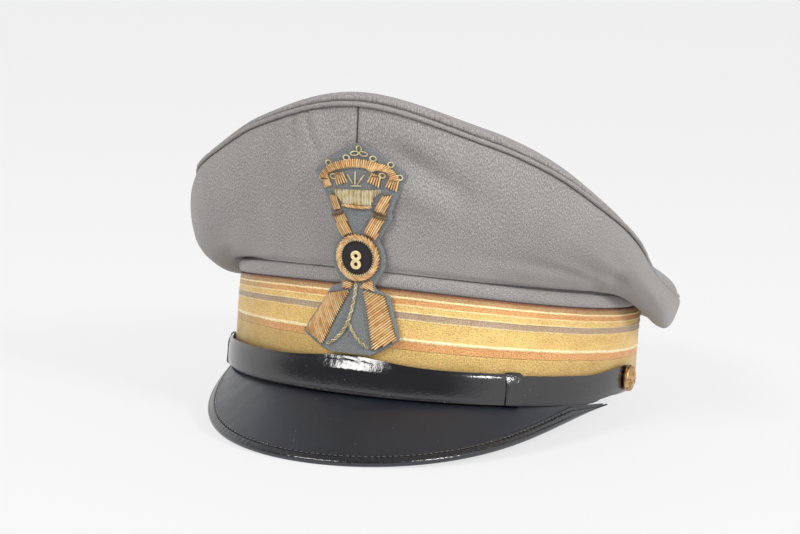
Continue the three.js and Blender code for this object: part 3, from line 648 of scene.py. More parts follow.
# The peak's binding: a strip of black leather 5 mm wide folded over its edge and sewn through,
# with a raised bead along the fold and one row of thread stitches inside it.
edge_lacquer = lacquer("binding_lacquer", 0.12, (500, 300, 1), 0.12, 0.26, 0.08, (0.006, 0.008, 0.013))
edge_bearing = np.linspace(-79, 79, 571)[:, None]
edge_length = np.hypot(*peak_edge(edge_bearing))
edge_inner = binding_inner(edge_bearing)
edge_profile = np.array([
    # share of the width from the inner edge, height off the peak's middle
    (0.0, 0.5), (0.0, 1.05), (0.05, 1.25), (0.14, 1.22), (0.20, 0.98), (0.27, 1.0), (0.34, 1.28),
    (0.45, 1.36), (0.56, 1.30), (0.64, 1.18), (0.70, 1.22), (0.77, 1.42), (0.85, 1.42), (0.92, 1.1),
    (0.97, 0.6), (1.0, 0.0), (0.97, -0.6), (0.9, -1.0), (0.78, -1.2), (0.5, -1.25), (0.2, -1.2),
    (0.03, -1.2), (0.0, -0.9), (0.0, -0.3),
])
edge_across, edge_height = edge_profile.T[:, None]
pucker = 1 + 0.025 * ripple(edge_bearing, 260) * (edge_height > 0)
edge_distance = edge_inner + edge_across * (edge_length - edge_inner)
edge_grid = on_peak(edge_bearing, edge_distance, edge_height * pucker - 1.0)
binding = surface("peak_binding_leather", on_table(edge_grid), across=True, capped=True)
fit(binding, edge_lacquer, "lacquered_leather", "peak_binding")


def run_along(points):
    """The distance covered at each point of a line, from its first."""
    return np.concatenate([[0], np.cumsum(np.linalg.norm(np.diff(points, axis=0), axis=1))])


def thread(path, radius, sides=8):
    """Closed thread tubes round a path (copies, steps, 3). Each keeps to `radius` nearly all its
    length and closes at its ends: the radius times the square root of 1 - x^8, x from -1 to 1."""
    way = unit(np.gradient(path, axis=1))
    beside = unit(np.cross(way, np.broadcast_to(np.array([0.0, 0.0, 1.0]), way.shape)))[:, :, None]
    above = np.cross(beside, way[:, :, None])
    share = np.linspace(-1, 1, path.shape[1])[None, :, None, None]
    thick = radius * np.clip(1 - share**8, 0, 1) ** 0.5
    turn = np.linspace(0, 2 * np.pi, sides, endpoint=False)[None, None, :, None]
    return path[:, :, None] + thick * (np.cos(turn) * beside + np.sin(turn) * above)


stitch_count = 104
stitch_step = np.linspace(0, 1, 7)[None, :]
seam_bearing = np.linspace(-60, 60, 2001)
stitch_seam = on_peak(seam_bearing, np.hypot(*peak_edge(seam_bearing)) - 3.9, 0.1)
seam_run = run_along(stitch_seam)
stitch_starts = np.linspace(0.5, seam_run[-1] - 2.5, stitch_count)[:, None]
stitch_at = seam_run.searchsorted(stitch_starts + 1.75 * stitch_step)
stitch_path = stitch_seam[stitch_at.clip(0, len(seam_run) - 1)]
stitch_path[..., 2] += 0.15 * np.sin(np.pi * stitch_step)
stitches = surface("binding_stitches", on_table(thread(stitch_path, 0.30)), across=True)
waxed, shader = finish_of("waxed_black_thread", {"Roughness": 0.25, "Specular IOR Level": 0.8})
ply = wave(waxed, 1400.0, 0.8)
twisted = ramp(waxed, ply, [(0.0, (0.035, 0.035, 0.037)), (1.0, (0.10, 0.10, 0.105))])
join(waxed, twisted, shader, "Base Color")
raised(waxed, shader, ply, 0.0001)
fit(stitches, waxed, "lacquered_leather")

# The chin strap: two lengths of black lacquered leather that lie one on the other over the foot
# of the band, creased and cracked a little where the strap has been pulled through its keepers.
strap_lacquer = lacquer("strap_lacquer", 0.07, (90, 200, 1), 0.09, 0.17, 0.07)
crumple = 0.012


def smooth_step(share):
    """Rises from 0 to 1 with level ends: three times the square less twice the cube."""
    share = np.clip(share, 0, 1)
    return share * share * (3 - 2 * share)


def strap_place(bearing):
    """At a bearing, the strap's rise near its ends, the bulge of its upper edge in front, and how
    far its foot leans out over the peak."""
    rise = 3 * smooth_step((np.abs(bearing) - 68) / 22)
    bulge = 2.8 * bell(bearing / 14)
    lean = 1.3 * smooth_step(1.4 * (1 - np.abs(bearing) / 75))
    return rise, bulge, lean


def strap_grid(bearing, bottom, top, inner, share, laid_back):
    """A strap's rounded flat section at each bearing, its height drawn in by a share near a
    rounded end. Its face is crumpled by parts of a millimetre, creased beside both edges and
    rounded towards them; in front its upper third is laid back and crinkled."""
    rise, bulge, lean = strap_place(bearing)
    flat_out, flat_up = rounded_box(0.9, 1.0, 0.3, 72)
    foot = 1.2 * bell((bearing + 42) / 24)
    half = (top - bottom) / 2 * share
    up = (bottom + top) / 2 + rise + 2 * flat_up * half
    up = up + (bulge * (flat_up + 0.5) + foot * (0.5 - flat_up)) * share
    faced = np.clip(flat_out / 0.45, 0, 1)
    crossing_waves = ripple(bearing, 31, 3 * flat_up) * ripple(bearing, 13, -5 * flat_up)
    crumpled = crumple * (crossing_waves + 0.5 * ripple(bearing, 67, 9 * flat_up))
    crease = -0.10 * bell((np.abs(flat_up) - 0.41) / 0.03)
    crown = -0.5 * np.clip(np.abs(2 * flat_up), 0, 1) ** 5
    back = bell((bearing + 1) / 13) * np.clip((flat_up - 0.14) / 0.36, 0, 1)
    crinkle = 0.12 * ripple(bearing, 131, 31 * flat_up) * ripple(bearing, 59, -23 * flat_up)
    out = inner + 0.45 + flat_out + lean * (0.5 - flat_up) - back * laid_back
    return on_table(beside_head(bearing, out + faced * (crumpled + crease + crown + back * crinkle), up))


strap_end = 93.0
rounded_from = strap_end - math.degrees(5.6 / head_length)
end_steps = rounded_from + (strap_end - rounded_from) * np.sin(np.linspace(0, np.pi / 2, 12))[1:]
even_steps = np.linspace(-rounded_from, rounded_from, 421)
strap_bearing = np.concatenate([-end_steps[::-1], even_steps, end_steps])[:, None]
past = np.clip((np.abs(strap_bearing) - rounded_from) / (strap_end - rounded_from), 0, 1)
strap_share = np.sqrt(np.clip(1 - past**2, 0.004, 1))
under_grid = strap_grid(strap_bearing, -0.8, 10.4, 0.7, strap_share, 0.8)
under = surface("chin_strap_leather", under_grid, across=True, capped=True)
fit(under, strap_lacquer, "lacquered_leather", "chin_strap")
over_bearing = np.linspace(-68, 46.5, 361)[:, None]
over_grid = strap_grid(over_bearing, -1.5, 11.2, 1.6, 1.0, 1.6)
over = surface("chin_strap_second", over_grid, across=True, capped=True)
fit(over, strap_lacquer, "lacquered_leather", "chin_strap_double")

# The keepers: two flat loops of the same leather, 7.5 mm wide and 0.5 mm thick, that hold the
# strap's two lengths together.
keeper_lacquer = lacquer("keeper_lacquer", 0.15, (700, 700, 1), 0.14, 0.22, 0.05)
keeper_half_width = 3.75
keeper_wall = 0.5


def keeper_grid(bearing):
    """A loop round both strap lengths: a rounded rectangle of out and up, the sum of seventh
    powers, with a thin wall rounded towards its edges; its top is laid back and crinkled."""
    wide = np.linspace(-keeper_half_width, keeper_half_width, 9)
    rounding = (np.abs(wide) / keeper_half_width) ** 6
    profile_wide = np.concatenate([wide, wide[::-1]])
    profile_lift = np.concatenate([keeper_wall - 0.18 * rounding, 0.12 * rounding])
    _, bulge, lean = strap_place(bearing)
    turn = np.linspace(0, 2 * np.pi, 61)[:-1, None]
    inner_out, inner_up = 0.6, -1.3
    outer_out, top_up = 2.6, 11.3 + bulge
    half_out, half_up = (outer_out - inner_out) / 2, (top_up - inner_up) / 2
    reach = (np.abs(np.cos(turn)) ** 7 + np.abs(np.sin(turn)) ** 7) ** (-1 / 7)
    out = (half_out + profile_lift) * np.cos(turn) * reach
    up = (half_up + profile_lift) * np.sin(turn) * reach
    around = bearing + np.degrees(profile_wide / head_length)[None, :]
    rolled = 1.1 * np.clip((up / half_up - 0.35) / 0.65, 0, 1) ** 1.6
    crinkle = 0.05 * np.sin(1.9 * up + 2.0 * profile_wide) * np.sin(3.1 * profile_wide - 1.2 * up)
    tilt = lean * (0.5 - up / (2 * half_up)) + (crinkle - rolled) * (np.cos(turn) > 0)
    out = out + (inner_out + outer_out) / 2 + tilt
    return on_table(beside_head(around, out, (inner_up + top_up) / 2 + up))


for side, bearing in (("left", -66.0), ("right", 44.0)):
    keeper = surface(f"keeper_{side}_leather", keeper_grid(bearing), around=True, across=True)
    fit(keeper, keeper_lacquer, "lacquered_leather", f"keeper_{side}")

# The side buttons: stamped gilt brass domes with a roped rim round a plain eight-petalled face.
# Their shanks, which go through the strap's ends into the band, are not built here.
button_turn = np.linspace(0, 2 * np.pi, 97)[:-1, None]
button_profile = np.array([
    # radius, height off the strap
    (0.0, 3.6), (0.6, 3.59), (1.2, 3.53), (1.8, 3.42), (2.4, 3.27), (3.0, 3.06), (3.5, 2.82), (3.9, 2.58),
    (4.2, 2.38), (4.45, 2.22), (4.7, 2.22), (4.95, 2.26), (5.2, 2.12), (5.42, 1.85), (5.6, 1.45),
    (5.7, 1.05), (5.66, 0.6), (5.45, 0.2), (5.1, 0.0), (4.2, -0.05), (2.9, -0.05), (0.0, -0.05),
])
radius, height = button_profile.T
petals = 0.22 * np.cos(button_turn * 8) * bell((radius - 2.6) / 1.1) * (height > 1.5)
roped = 0.14 * np.cos(button_turn * 40 + 3 * radius) * bell((radius - 4.95) / 0.4) * (height > 1.2)
struck = (height + petals + roped)[..., None]
gilt, shader = finish_of("gilt_brass", {"Metallic": 1.0})
wear = noise(gilt, (700, 700, 700), 5.0, source="Object")
gilt_tones = [(0.35, (0.30, 0.17, 0.07)), (0.55, (0.58, 0.37, 0.17)), (0.75, (0.72, 0.50, 0.27))]
join(gilt, ramp(gilt, wear, gilt_tones), shader, "Base Color")
join(gilt, spread(gilt, wear, 0.3, 0.7, 0.5, 0.36), shader, "Roughness")
raised(gilt, shader, wear, 0.0001)
upright = np.array([0.0, 0.0, 1.0])
spoke_turn = button_turn[..., None]
for side, bearing in (("left", 89.0), ("right", -89.0)):
    seat = beside_head(bearing, 1.7, 7.7)
    axis = beside_head(bearing, 2.7, 7.7) - seat
    spoke = np.cos(spoke_turn) * np.cross(axis, upright) + np.sin(spoke_turn) * upright
    dome = seat + radius[:, None] * spoke + struck * axis
    button = surface(f"button_{side}_gilt", on_table(dome), around=True)
    fit(button, gilt, "gilt_brass", f"button_{side}")

# The badge's ground: blue-grey felt cut about 1.5 mm outside the embroidery. It stands upright
# over the lace and leans with the crown above, a little proud of the cloth.
ground_table = np.array([
    # height above the rim, left and right edge seen from the front
    (15, -9, 9.5), (18, -15.5, 14.5), (21.8, -21.7, 19.8), (23.2, -21, 20), (31, -16, 17.4),
    (39.5, -10.8, 15), (41.5, -9.6, 9.8), (43, -5.6, 8.4), (46, -6.8, 9.8), (50, -8.9, 11.9),
    (54, -9.5, 12.4), (58, -8.8, 11.7), (62, -6, 9.6), (66, -7.6, 11.4), (71, -9.5, 14.6),
    (73.5, -9.4, 13.9), (79, -11.4, 15.6), (84, -14, 17.7), (88, -15, 18.8), (91, -12.6, 17.6),
    (95, -7, 12.2), (98, -2.8, 7.2), (100.5, 0.2, 3),
])


def on_badge(points):
    """Badge millimetres (across, up, depth) to the cap: across becomes a bearing, and the depth
    is taken off a face that leans out by 0.235 above 47 mm, with a soft bend."""
    across, up, depth = points[..., 0], points[..., 1], points[..., 2]
    leaning = 0.235 * 5 * np.log1p(np.exp((up - 47) / 5))
    return on_table(beside_head(np.degrees(across / head_width), 1.3 + leaning + depth, up))


ground_up = np.unique(np.concatenate([np.linspace(15, 100.5, 160), ground_table[:, 0]]))[:, None]
ground_left = np.interp(ground_up, ground_table[:, 0], ground_table[:, 1])
ground_right = np.interp(ground_up, ground_table[:, 0], ground_table[:, 2])
ground_share = np.concatenate([[0, 0.012], np.linspace(0.04, 0.96, 40), [0.988, 1]])[None, :]
ground_across = ground_left + (ground_right - ground_left) * ground_share
edge_drop = 0.35 * (np.abs(2 * ground_share - 1) ** 40)
felt_lump = 0.10 * np.sin(ground_across * 0.9) * np.sin(ground_up * 0.5)
felt_face = stacked(ground_across, ground_up, 1.2 - edge_drop + felt_lump)
felt_back = stacked(ground_across, ground_up, 0.0)[:, ::-1]
felt_grid = np.concatenate([felt_face, felt_back], axis=1)
ground = surface("badge_felt", on_badge(felt_grid), across=True, capped=True, flat=felt_grid[..., :2] / 1000)
blue_grey_felt = wool_cloth("blue_grey_felt", "UV", (0.125, 0.138, 0.142), (0.255, 0.275, 0.278))
fit(ground, blue_grey_felt, "badge_cloth", "badge_ground")

# The badge's embroidery: hollow coils of gilt wire laid side by side over padding and sewn down
# at both ends. Each field of it is one run of threads across a four-sided shape.


def bullion(name, dark, mid, light, pitch, metal):
    """Coiled gilt wire: a fine coil line across each thread, a shade of its own for each copy, and
    brown tarnish in patches."""
    wire, gloss = finish_of(name, {"Metallic": metal, "Specular IOR Level": 0.5})
    each = add(wire, "Attribute", attribute_name="copy").outputs["Fac"]
    patch = noise(wire, (350, 350, 350), 4.0, source="Object")
    each = combine(wire, "MULTIPLY", each, 0.16)
    shade = combine(wire, "ADD", each, combine(wire, "MULTIPLY", patch, 0.45))
    join(wire, ramp(wire, shade, [(0.16, dark), (0.30, mid), (0.44, light)]), gloss, "Base Color")
    raised(wire, gloss, wave(wire, pitch, 0.25, 0.2), 0.00016)
    join(wire, spread(wire, patch, 0.3, 0.7, 0.46, 0.30), gloss, "Roughness")
    return wire


copper_gold = bullion("copper_gold_bullion", (0.62, 0.34, 0.13), (1.0, 0.62, 0.28), (1.0, 0.84, 0.48),
                      900, 0.45)
bright_gold = bullion("bright_gold_wire", (0.50, 0.37, 0.15), (1.0, 0.85, 0.50), (1.0, 0.98, 0.80),
                      1100, 0.45)
dark_twist = bullion("dark_twist", (0.12, 0.07, 0.04), (0.26, 0.16, 0.08), (0.60, 0.40, 0.20), 1300, 0.5)


def hump(share):
    """The square root of a parabola: 0 at both ends of the way, 1 half way, and steep at its ends."""
    return np.sqrt(np.clip(1 - (2 * share - 1) ** 2, 0, 1))


def lay(starts, ends, rise, low=1.45, steps=14, bow=0.0):
    """Threads from `starts` to `ends`, both (copies, 2) in badge millimetres: straight or bowed
    sideways by half a sine, and lifted over the padding by the hump."""
    share = np.linspace(0, 1, steps)[None, :, None]
    path = starts[:, None] + (ends - starts)[:, None] * share
    way = unit(ends - starts)
    side = np.stack([-way[:, 1], way[:, 0]], axis=1)
    path = path + bow * np.sin(np.pi * share) * side[:, None]
    return np.concatenate([path, np.broadcast_to(low + rise * hump(share), path[..., :1].shape)], axis=-1)


def field(corners, way, pitch):
    """Start and end of parallel threads over a convex four-sided field: lines in the direction
    `way`, a pitch apart, cut where they enter and leave the field's four edges."""
    corners = np.array(corners, dtype=float)
    way = np.array(way, dtype=float) / np.hypot(*way)
    side = np.array([-way[1], way[0]])
    offsets = corners @ side
    lines = np.arange(offsets.min() + pitch / 2, offsets.max(), pitch)[:, None]
    first, second = corners, np.roll(corners, -1, axis=0)
    a, b = (first @ side)[None, :], (second @ side)[None, :]
    share = (lines - a) / np.where(np.abs(b - a) < 1e-9, 1e-9, b - a)
    meets = (share >= 0) & (share <= 1)
    place = (first @ way)[None, :] + share * ((second - first) @ way)[None, :]
    near = np.where(meets, place, np.inf).min(axis=1, keepdims=True)
    far = np.where(meets, place, -np.inf).max(axis=1, keepdims=True)
    keep = (far - near)[:, 0] > 0.5
    return (near * way + lines * side)[keep], (far * way + lines * side)[keep]


def embroider(name, paths, radius, material, slot, *nodes):
    """One piece of threads laid on the badge."""
    piece = surface(name, on_badge(thread(paths, radius)), across=True)
    return fit(piece, material, slot, *nodes)


def along(points, count):
    """Points evenly spaced by distance along a line of straight stretches."""
    points = np.array(points, dtype=float)
    run = run_along(points)
    at = np.linspace(0, run[-1], count)
    return np.stack([np.interp(at, run, points[:, k]) for k in (0, 1)], -1)


def pad(first, second, proud):
    """Padding between two lines, each (rows, 2): humped between them, 2 per cent short of them,
    and with its back sunk in the felt."""
    share = np.linspace(0, 1, 9)[None, :, None]
    place = first[:, None] + (second - first)[:, None] * (0.96 * share + 0.02)
    humped = np.broadcast_to(1.2 + proud * hump(share), place[..., :1].shape)
    face = np.concatenate([place, humped], axis=-1)
    back = np.concatenate([place, np.full_like(humped, 0.8)], axis=-1)
    return np.concatenate([face, back[:, ::-1]], axis=1)


# Each field is given by its four corners: upper left, upper right, lower right and lower left.
left_stock = [(-10.8, 38.9), (-1.3, 40.6), (-11.4, 16.8), (-20.2, 22.8)]
right_stock = [(4.3, 41.1), (13.2, 39.6), (19.2, 22.2), (9.2, 16.6)]
left_barrel = [(-9.4, 79.2), (-6.8, 78.9), (-5.0, 73.1), (-7.6, 72.2)]
left_barrel_low = [(-8.4, 70.6), (-4.0, 71.8), (-0.3, 63.9), (-4.6, 61.8)]
right_barrel = [(10.6, 80.4), (13.9, 80.9), (11.9, 72.0), (7.8, 73.0)]
right_barrel_low = [(7.2, 71.4), (11.7, 70.6), (8.4, 61.6), (3.9, 63.9)]
left_neck = [(-4.3, 44.4), (0.0, 43.9), (-0.8, 41.3), (-5.0, 41.0)]
right_neck = [(3.9, 44.3), (7.6, 45.3), (8.8, 41.0), (2.8, 42.0)]
copper_fields = (
    # piece, its fields (corners, way of the threads, pitch, height of the hump), thread radius, nodes
    ("stock_left_threads", [(left_stock, (0.40, -0.92), 0.80, 1.1)], 0.335, ["badge_stock_left"]),
    ("stock_right_threads", [(right_stock, (0.74, 0.67), 0.94, 1.1)], 0.385, ["badge_stock_right"]),
    ("barrel_left_threads",
     [(left_barrel, (0.30, -0.95), 0.72, 0.7), (left_barrel_low, (0.45, -0.89), 0.76, 0.8)],
     0.31, ["badge_barrel_left"]),
    ("barrel_right_threads",
     [(right_barrel, (0.42, 0.91), 0.76, 0.7), (right_barrel_low, (0.45, 0.89), 0.78, 0.8)],
     0.32, ["badge_barrel_right"]),
    ("neck_threads", [(left_neck, (0.9, 0.43), 0.7, 0.4), (right_neck, (0.9, -0.43), 0.7, 0.4)], 0.29, []),
)
for name, runs, radius, nodes in copper_fields:
    paths = np.concatenate([lay(*field(corners, way, pitch), proud) for corners, way, pitch, proud in runs])
    embroider(name, paths, radius, copper_gold, "bullion", *nodes)
collar_starts = np.array([(-8.9, 70.3), (-8.7, 71.1), (6.9, 73.6), (7.0, 72.8), (7.2, 72.0)])
collar_ends = np.array([(-4.2, 72.3), (-4.4, 73.1), (12.9, 72.0), (12.8, 71.2), (12.6, 70.5)])
embroider("barrel_collars", lay(collar_starts, collar_ends, 0.9, 1.7, bow=-0.5), 0.27, dark_twist, "bullion")

# The arch over the badge: a band of short threads, four fringed feet hanging from it, and loops
# of twisted wire standing round its upper edge. Brown padding shows between the threads, and its
# dark brown is partly painted shade in the gaps.
arch_outer = [(-13.3, 86.2), (-10.8, 89.7), (-7.1, 92.1), (-3.1, 93.5), (1.1, 94.3), (4.4, 94.1), (7.7, 93.6),
              (11.7, 92.7), (14.6, 90.5), (16.7, 87.5)]
arch_inner = [(-11.4, 84.7), (-9.3, 87.4), (-6.4, 88.9), (-3.6, 89.6), (0.3, 90.4), (4.1, 90.5), (6.3, 88.9),
              (8.5, 90.0), (11.8, 89.5), (13.7, 86.4)]
arch_threads = lay(along(arch_outer, 43), along(arch_inner, 43), 0.9)
embroider("arch_threads", arch_threads, 0.315, copper_gold, "bullion", "badge_arch")
fields = (left_stock, right_stock, left_barrel, left_barrel_low, right_barrel, right_barrel_low,
          left_neck, right_neck)
pad_lines = [(along([a, d], 40), along([b, c], 40)) for a, b, c, d in fields]
pad_lines.append((along(arch_outer, 40), along(arch_inner, 40)))
feet = np.array([(-10.7, 83.2, 0.65), (-5.2, 84.9, 1.0), (8.1, 85.5, 1.0), (14.5, 84.4, 0.95)])
for across, up, wide in feet:
    top, end = np.array([across - 1.5 * wide, up + 3.2]), np.array([across - 1.8 * wide, up - 1.4])
    pad_lines.append((along([top, end], 40), along([top + (3.0 * wide, 0), end + (3.6 * wide, 0)], 40)))
# The padding's dark brown is partly its own colour and partly painted shade in the gaps between threads.
padding_and_gap_shade = wool_cloth("padding_painted_shade", "Object", (0.075, 0.040, 0.018), (0.19, 0.11, 0.055))
pads = np.stack([pad(first, second, 0.75) for first, second in pad_lines])
padding = surface("badge_padding", on_badge(pads), across=True, capped=True)
fit(padding, padding_and_gap_shade, "badge_cloth")
foot_step = np.linspace(-1.8, 1.8, 5) * feet[:, 2:3]
foot_way = np.array([0.9, 0.9, -0.9, -0.9])[:, None]
foot_across, foot_up = feet[:, 0:1], feet[:, 1:2]
foot_tops = stacked(foot_across + foot_step * 0.8 - foot_way * 0.4,
                    foot_up + 3.2 + foot_way * foot_step * 0.2)
foot_ends = stacked(foot_across + foot_step * 1.05 + foot_way * 1.1,
                    foot_up - 1.6 + foot_way * foot_step * 0.5)
fringe = lay(foot_tops.reshape(-1, 2), foot_ends.reshape(-1, 2), 0.6)
embroider("arch_fringe", fringe, 0.31, copper_gold, "bullion")
ties = feet[:, :2] + np.array([(-0.4, 1.6), (0.0, 2.2), (0.0, 2.0), (-0.1, 2.0)])
tie_paths = lay(ties - (1.6, 0), ties + (1.6, 0), 0.7, 1.9, bow=0.2)
embroider("fringe_ties", tie_paths, 0.22, dark_twist, "bullion")

loop_table = np.array([
    # centre across and up, half width and half height, slant in degrees
    (2.1, 98.1, 0.85, 1.35, 0), (0.5, 96.2, 1.45, 0.80, 12), (3.7, 96.3, 1.45, 0.80, -12),
    (-2.5, 94.2, 1.1, 1.0, 0), (7.1, 94.7, 1.1, 1.0, 0), (-9.4, 91.5, 1.0, 1.0, 0),
    (13.3, 92.9, 1.0, 1.0, 0), (-12.2, 85.3, 0.9, 1.1, 0), (16.5, 88.0, 1.0, 1.0, 0),
    (-7.7, 86.2, 1.05, 0.95, 0), (10.4, 88.2, 1.05, 0.95, 0),
])


def loops(table, low, wire, steps=32, sides=8):
    """Closed rings of wire on the badge: ellipses in the badge's plane with a round section."""
    turn = np.linspace(0, 2 * np.pi, steps, endpoint=False)[None, :]
    slant = np.radians(table[:, 4:5])
    wide, tall = table[:, 2:3] * np.cos(turn), table[:, 3:4] * np.sin(turn)
    across = table[:, 0:1] + wide * np.cos(slant) - tall * np.sin(slant)
    up = table[:, 1:2] + wide * np.sin(slant) + tall * np.cos(slant)
    path = np.stack([across, up, np.full_like(across, low)], axis=-1)
    outward = unit(path - stacked(table[:, 0], table[:, 1], low)[:, None])
    around = np.linspace(0, 2 * np.pi, sides, endpoint=False)[None, None, :, None]
    return path[:, :, None] + wire * (np.cos(around) * outward[:, :, None] + np.sin(around) * upright)


loop_wires = surface("arch_loops", on_badge(loops(loop_table, 1.8, 0.25)), around=True, across=True)
fit(loop_wires, bright_gold, "bright_bullion")
ray_starts = np.array([(0.1, 83.3), (0.5, 83.3), (1.1, 83.3), (-1.3, 82.9)])
ray_ends = np.array([(-2.4, 87.7), (0.7, 89.2), (4.1, 88.1), (3.0, 83.3)])
embroider("arch_rays", lay(ray_starts, ray_ends, 0.25), 0.26, bright_gold, "bright_bullion")

# The circlet under the arch: bright smooth wires standing side by side, with one darker rope sewn
# along their lower ends.
circlet_foot = np.array([(-8.2, 81.0), (-4.2, 75.3), (1.3, 75.0), (6.8, 75.3), (7.3, 78.4), (10.8, 82.4)])
wire_across = np.arange(-7.2, 10.3, 0.57)
wire_top = np.stack([wire_across, 81.2 + (wire_across + 8.2) * 0.074], -1)
wire_foot = np.stack([wire_across, np.interp(wire_across, circlet_foot[:, 0], circlet_foot[:, 1])], -1)
wire_paths = lay(wire_top, wire_foot, 1.0)
embroider("circlet_wires", wire_paths, 0.235, bright_gold, "bright_bullion", "badge_circlet")


def rope(line, radius, strands, lay_length, steps, low, wire):
    """Strands wound round a line on the badge, (n, 2) in millimetres: each runs along the line at
    `radius` from it and goes once round it in every `lay_length`."""
    run = run_along(line)
    at = np.linspace(0, run[-1], steps)
    path = np.stack([np.interp(at, run, line[:, 0]), np.interp(at, run, line[:, 1])], -1)
    way = unit(np.gradient(path, axis=0))
    side = np.stack([-way[:, 1], way[:, 0]], axis=1)
    phase = 2 * np.pi * (at[None, :] / lay_length + np.arange(strands)[:, None] / strands)
    spot = path[None] + radius * np.cos(phase)[..., None] * side[None]
    depth = low + radius * np.sin(phase)
    return thread(np.concatenate([spot, depth[..., None]], axis=-1), wire)


def curve_through(points, count):
    """A smooth line through a few points: each coordinate is a cubic fitted over the distance."""
    points = np.array(points, dtype=float)
    run = run_along(points)
    at = np.linspace(0, run[-1], count)
    order = min(3, len(points) - 1)
    return np.stack([np.polyval(np.polyfit(run, points[:, k], order), at) for k in (0, 1)], -1)


braid_line = curve_through([(-4.6, 75.0), (-1.4, 74.7), (1.3, 74.6), (3.6, 74.7), (6.9, 75.2)], 60)
braid = surface("circlet_rope", on_badge(rope(braid_line, 0.34, 2, 2.6, 90, 2.1, 0.38)), across=True)
fit(braid, copper_gold, "bright_bullion")

# The ring and boss: threads laid like a rope round a black cloth-covered boss, small bright beads
# where they turn in, and a plain numeral 8 of two flat gilt rings.
ring_centre = np.array([1.5, 54.0])
ring_taller = 1.1


def on_ring(turn, radius, depth):
    """Badge points round the ring's centre: an oval a tenth taller than wide, clockwise from the
    top, at a radius and a depth."""
    across = ring_centre[0] + radius * np.sin(turn)
    return stacked(across, ring_centre[1] + ring_taller * radius * np.cos(turn), depth)


lay_start = np.radians(np.linspace(0, 360, 39)[:-1])[:, None]
lay_share = np.linspace(0, 1, 14)[None, :]
ring_path = on_ring(lay_start + np.radians(30) * lay_share, 8.75 - 2.2 * lay_share,
                    1.5 + 1.35 * hump(lay_share))
embroider("ring_threads", ring_path, 0.33, copper_gold, "bullion", "badge_ring")
bead_turn = np.radians(np.linspace(0, 360, 47)[:-1])[:, None]
bead_share = np.linspace(0, 1, 6)[None, :]
bead_path = on_ring(bead_turn + 0.06 * bead_share, 6.1 + 0.95 * bead_share, 2.5 + 0.45 * bead_share)
embroider("ring_beads", bead_path, 0.24, bright_gold, "bright_bullion")

ring_turn = np.linspace(0, 2 * np.pi, 73)[:-1, None]
ring_profile = np.array([(9.0, 1.0), (8.8, 1.5), (8.2, 2.0), (7.6, 2.2), (7.0, 2.15), (6.5, 1.9), (6.3, 1.0)])
ring_grid = on_ring(ring_turn, ring_profile[:, 0], ring_profile[:, 1])
# The ring's padding takes the same dark brown, partly painted shade between the threads.
ring_backing = surface("ring_padding", on_badge(ring_grid), around=True, across=True)
fit(ring_backing, padding_and_gap_shade, "badge_cloth")
boss_profile = np.array([(0.0, 2.45), (1.5, 2.44), (3.0, 2.4), (4.5, 2.32), (5.6, 2.2), (6.1, 2.0),
                         (6.25, 1.7), (6.0, 1.5), (0.0, 1.5)])
boss_grid = on_ring(ring_turn, boss_profile[:, 0], boss_profile[:, 1])
black_cloth, shader = finish_of("black_boss_cloth", {"Roughness": 0.55, "Specular IOR Level": 0.35,
                                                     "Sheen Weight": 0.1})
satin = wave(black_cloth, 700.0, 0.6, source="Object")
blacks = ramp(black_cloth, satin, [(0.0, (0.010, 0.007, 0.010)), (1.0, (0.022, 0.016, 0.021))])
join(black_cloth, blacks, shader, "Base Color")
raised(black_cloth, shader, satin, 0.0001)
fit(surface("boss_cloth", on_badge(boss_grid), around=True), black_cloth, "black_enamel", "badge_boss")

numeral_turn = np.linspace(0, 2 * np.pi, 61)[None, :-1, None]
numeral_side = np.linspace(0, 2 * np.pi, 17)[None, None, :-1]
numeral_out = 1.42 + 0.68 * rounder(np.cos(numeral_side), 0.6)
numeral_depth = 2.85 + 0.32 * rounder(np.sin(numeral_side), 0.7) + np.array([0.0, 0.02])[:, None, None]
numeral_up = 53.1 + np.array([1.72, -1.72])[:, None, None] + numeral_out * np.sin(numeral_turn)
numeral_grid = stacked(1.15 + numeral_out * np.cos(numeral_turn), numeral_up, numeral_depth)
pale_gilt, shader = finish_of("pale_gilt", {"Metallic": 0.6, "Roughness": 0.32})
rub = noise(pale_gilt, (900, 900, 900), 4.0, source="Object")
pale_tones = [(0.35, (0.78, 0.58, 0.26)), (0.6, (1.0, 0.85, 0.50))]
join(pale_gilt, ramp(pale_gilt, rub, pale_tones), shader, "Base Color")
numeral = surface("numeral_eight", on_badge(numeral_grid), around=True, across=True)
fit(numeral, pale_gilt, "gilt_brass", "badge_number")

# The badge cord: two strands of pale gilt wire twisted together, sewn down from the ring to a fork
# and out to one end under each stock.
main_line = curve_through([(1.3, 44.2), (0.9, 38.0), (-0.3, 31.0), (-2.6, 25.0), (-5.6, 20.2),
                           (-9.8, 18.0)], 80)
branch_line = curve_through([(-0.6, 27.4), (0.8, 24.4), (3.4, 21.2), (5.6, 19.2), (8.2, 17.8)], 60)
cord = surface("cord_twist", on_badge(rope(main_line, 0.46, 2, 3.4, 170, 2.0, 0.29)), across=True)
fit(cord, bright_gold, "bright_bullion", "badge_cord")
cord_end = surface("cord_twist_end", on_badge(rope(branch_line, 0.40, 2, 3.1, 90, 1.9, 0.25)), across=True)
fit(cord_end, bright_gold, "bright_bullion", "badge_cord_end")

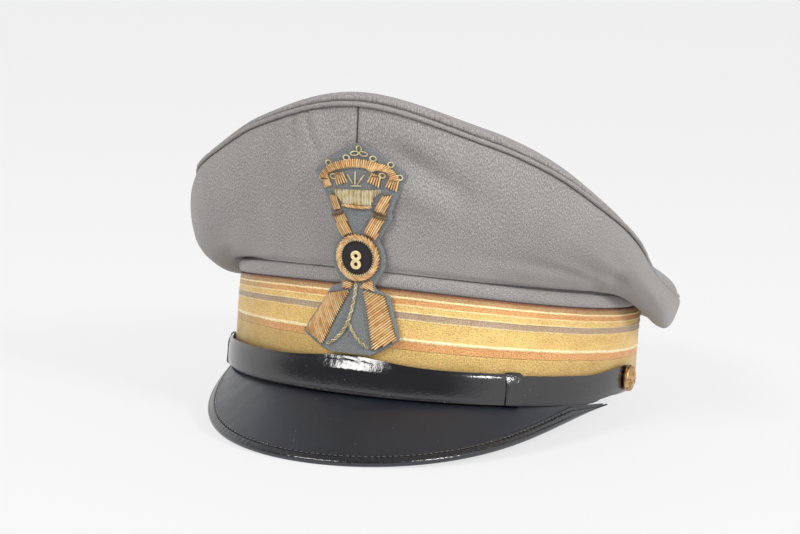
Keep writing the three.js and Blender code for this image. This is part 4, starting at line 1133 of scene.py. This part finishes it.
# The table and the light: a white sheet that glows a little, so that shadows stay faint, a square
# lamp at the upper right, a wide one in front at the left, and a pale room that is dark in front.
floor_points = np.array([[[-6.0, -6.0, 0.0], [-6.0, 6.0, 0.0]], [[6.0, -6.0, 0.0], [6.0, 6.0, 0.0]]])
floor_mesh = bpy.data.meshes.new("table")
floor_mesh.from_pydata(floor_points.reshape(-1, 3).tolist(), [], [(0, 2, 3, 1)])
floor = bpy.data.objects.new("table", floor_mesh)
bpy.context.scene.collection.objects.link(floor)
paper, _ = finish_of("white_paper", {"Base Color": (0.17, 0.17, 0.17, 1), "Roughness": 0.8,
                                     "Specular IOR Level": 0.1, "Emission Color": (0.99, 0.99, 1.0, 1),
                                     "Emission Strength": 0.735})
floor_mesh.materials.append(paper)


def soft_light(name, place, aim, width, height, power, colour):
    """A rectangular area light at a place, turned to face a point."""
    lamp = bpy.data.lights.new(name, "AREA")
    lamp.shape = "RECTANGLE"
    lamp.size = width
    lamp.size_y = height
    lamp.energy = power
    lamp.color = colour
    holder = bpy.data.objects.new(name, lamp)
    turn = (Vector(aim) - Vector(place)).to_track_quat("-Z", "Y").to_matrix().to_4x4()
    holder.matrix_world = Matrix.Translation(place) @ turn
    bpy.context.scene.collection.objects.link(holder)


soft_light("right_lamp", (1.6, -0.68, 1.08), (0, 0, 0.06), 0.42, 0.42, 22, (1.0, 0.99, 0.975))
soft_light("left_lamp", (-0.62, -1.55, 1.35), (0, 0, 0.06), 0.95, 0.60, 25, (1.0, 0.985, 0.965))
room = bpy.data.worlds.new("room")
room.use_nodes = True
way = add(room, "TexCoord").outputs["Generated"]
ahead = add(room, "VectorMath", {0: way, 1: (-0.17, -0.98, 0.12)}, operation="DOT_PRODUCT").outputs["Value"]
dim = ramp(room, ahead, [(0.25, (1.0, 0.995, 0.99)), (0.62, (0.24, 0.235, 0.24))])
overhead = add(room, "SeparateXYZ", {0: way}).outputs[2]
ceiling = ramp(room, overhead, [(0.5, (1.0, 1.0, 1.0)), (0.9, (0.35, 0.35, 0.36))])
backdrop = room.node_tree.nodes["Background"]
join(room, tint(room, "MULTIPLY", 1.0, dim, ceiling), backdrop, "Color")
backdrop.inputs["Strength"].default_value = 1.0
bpy.context.scene.world = room
bpy.context.scene.view_settings.view_transform = "Standard"
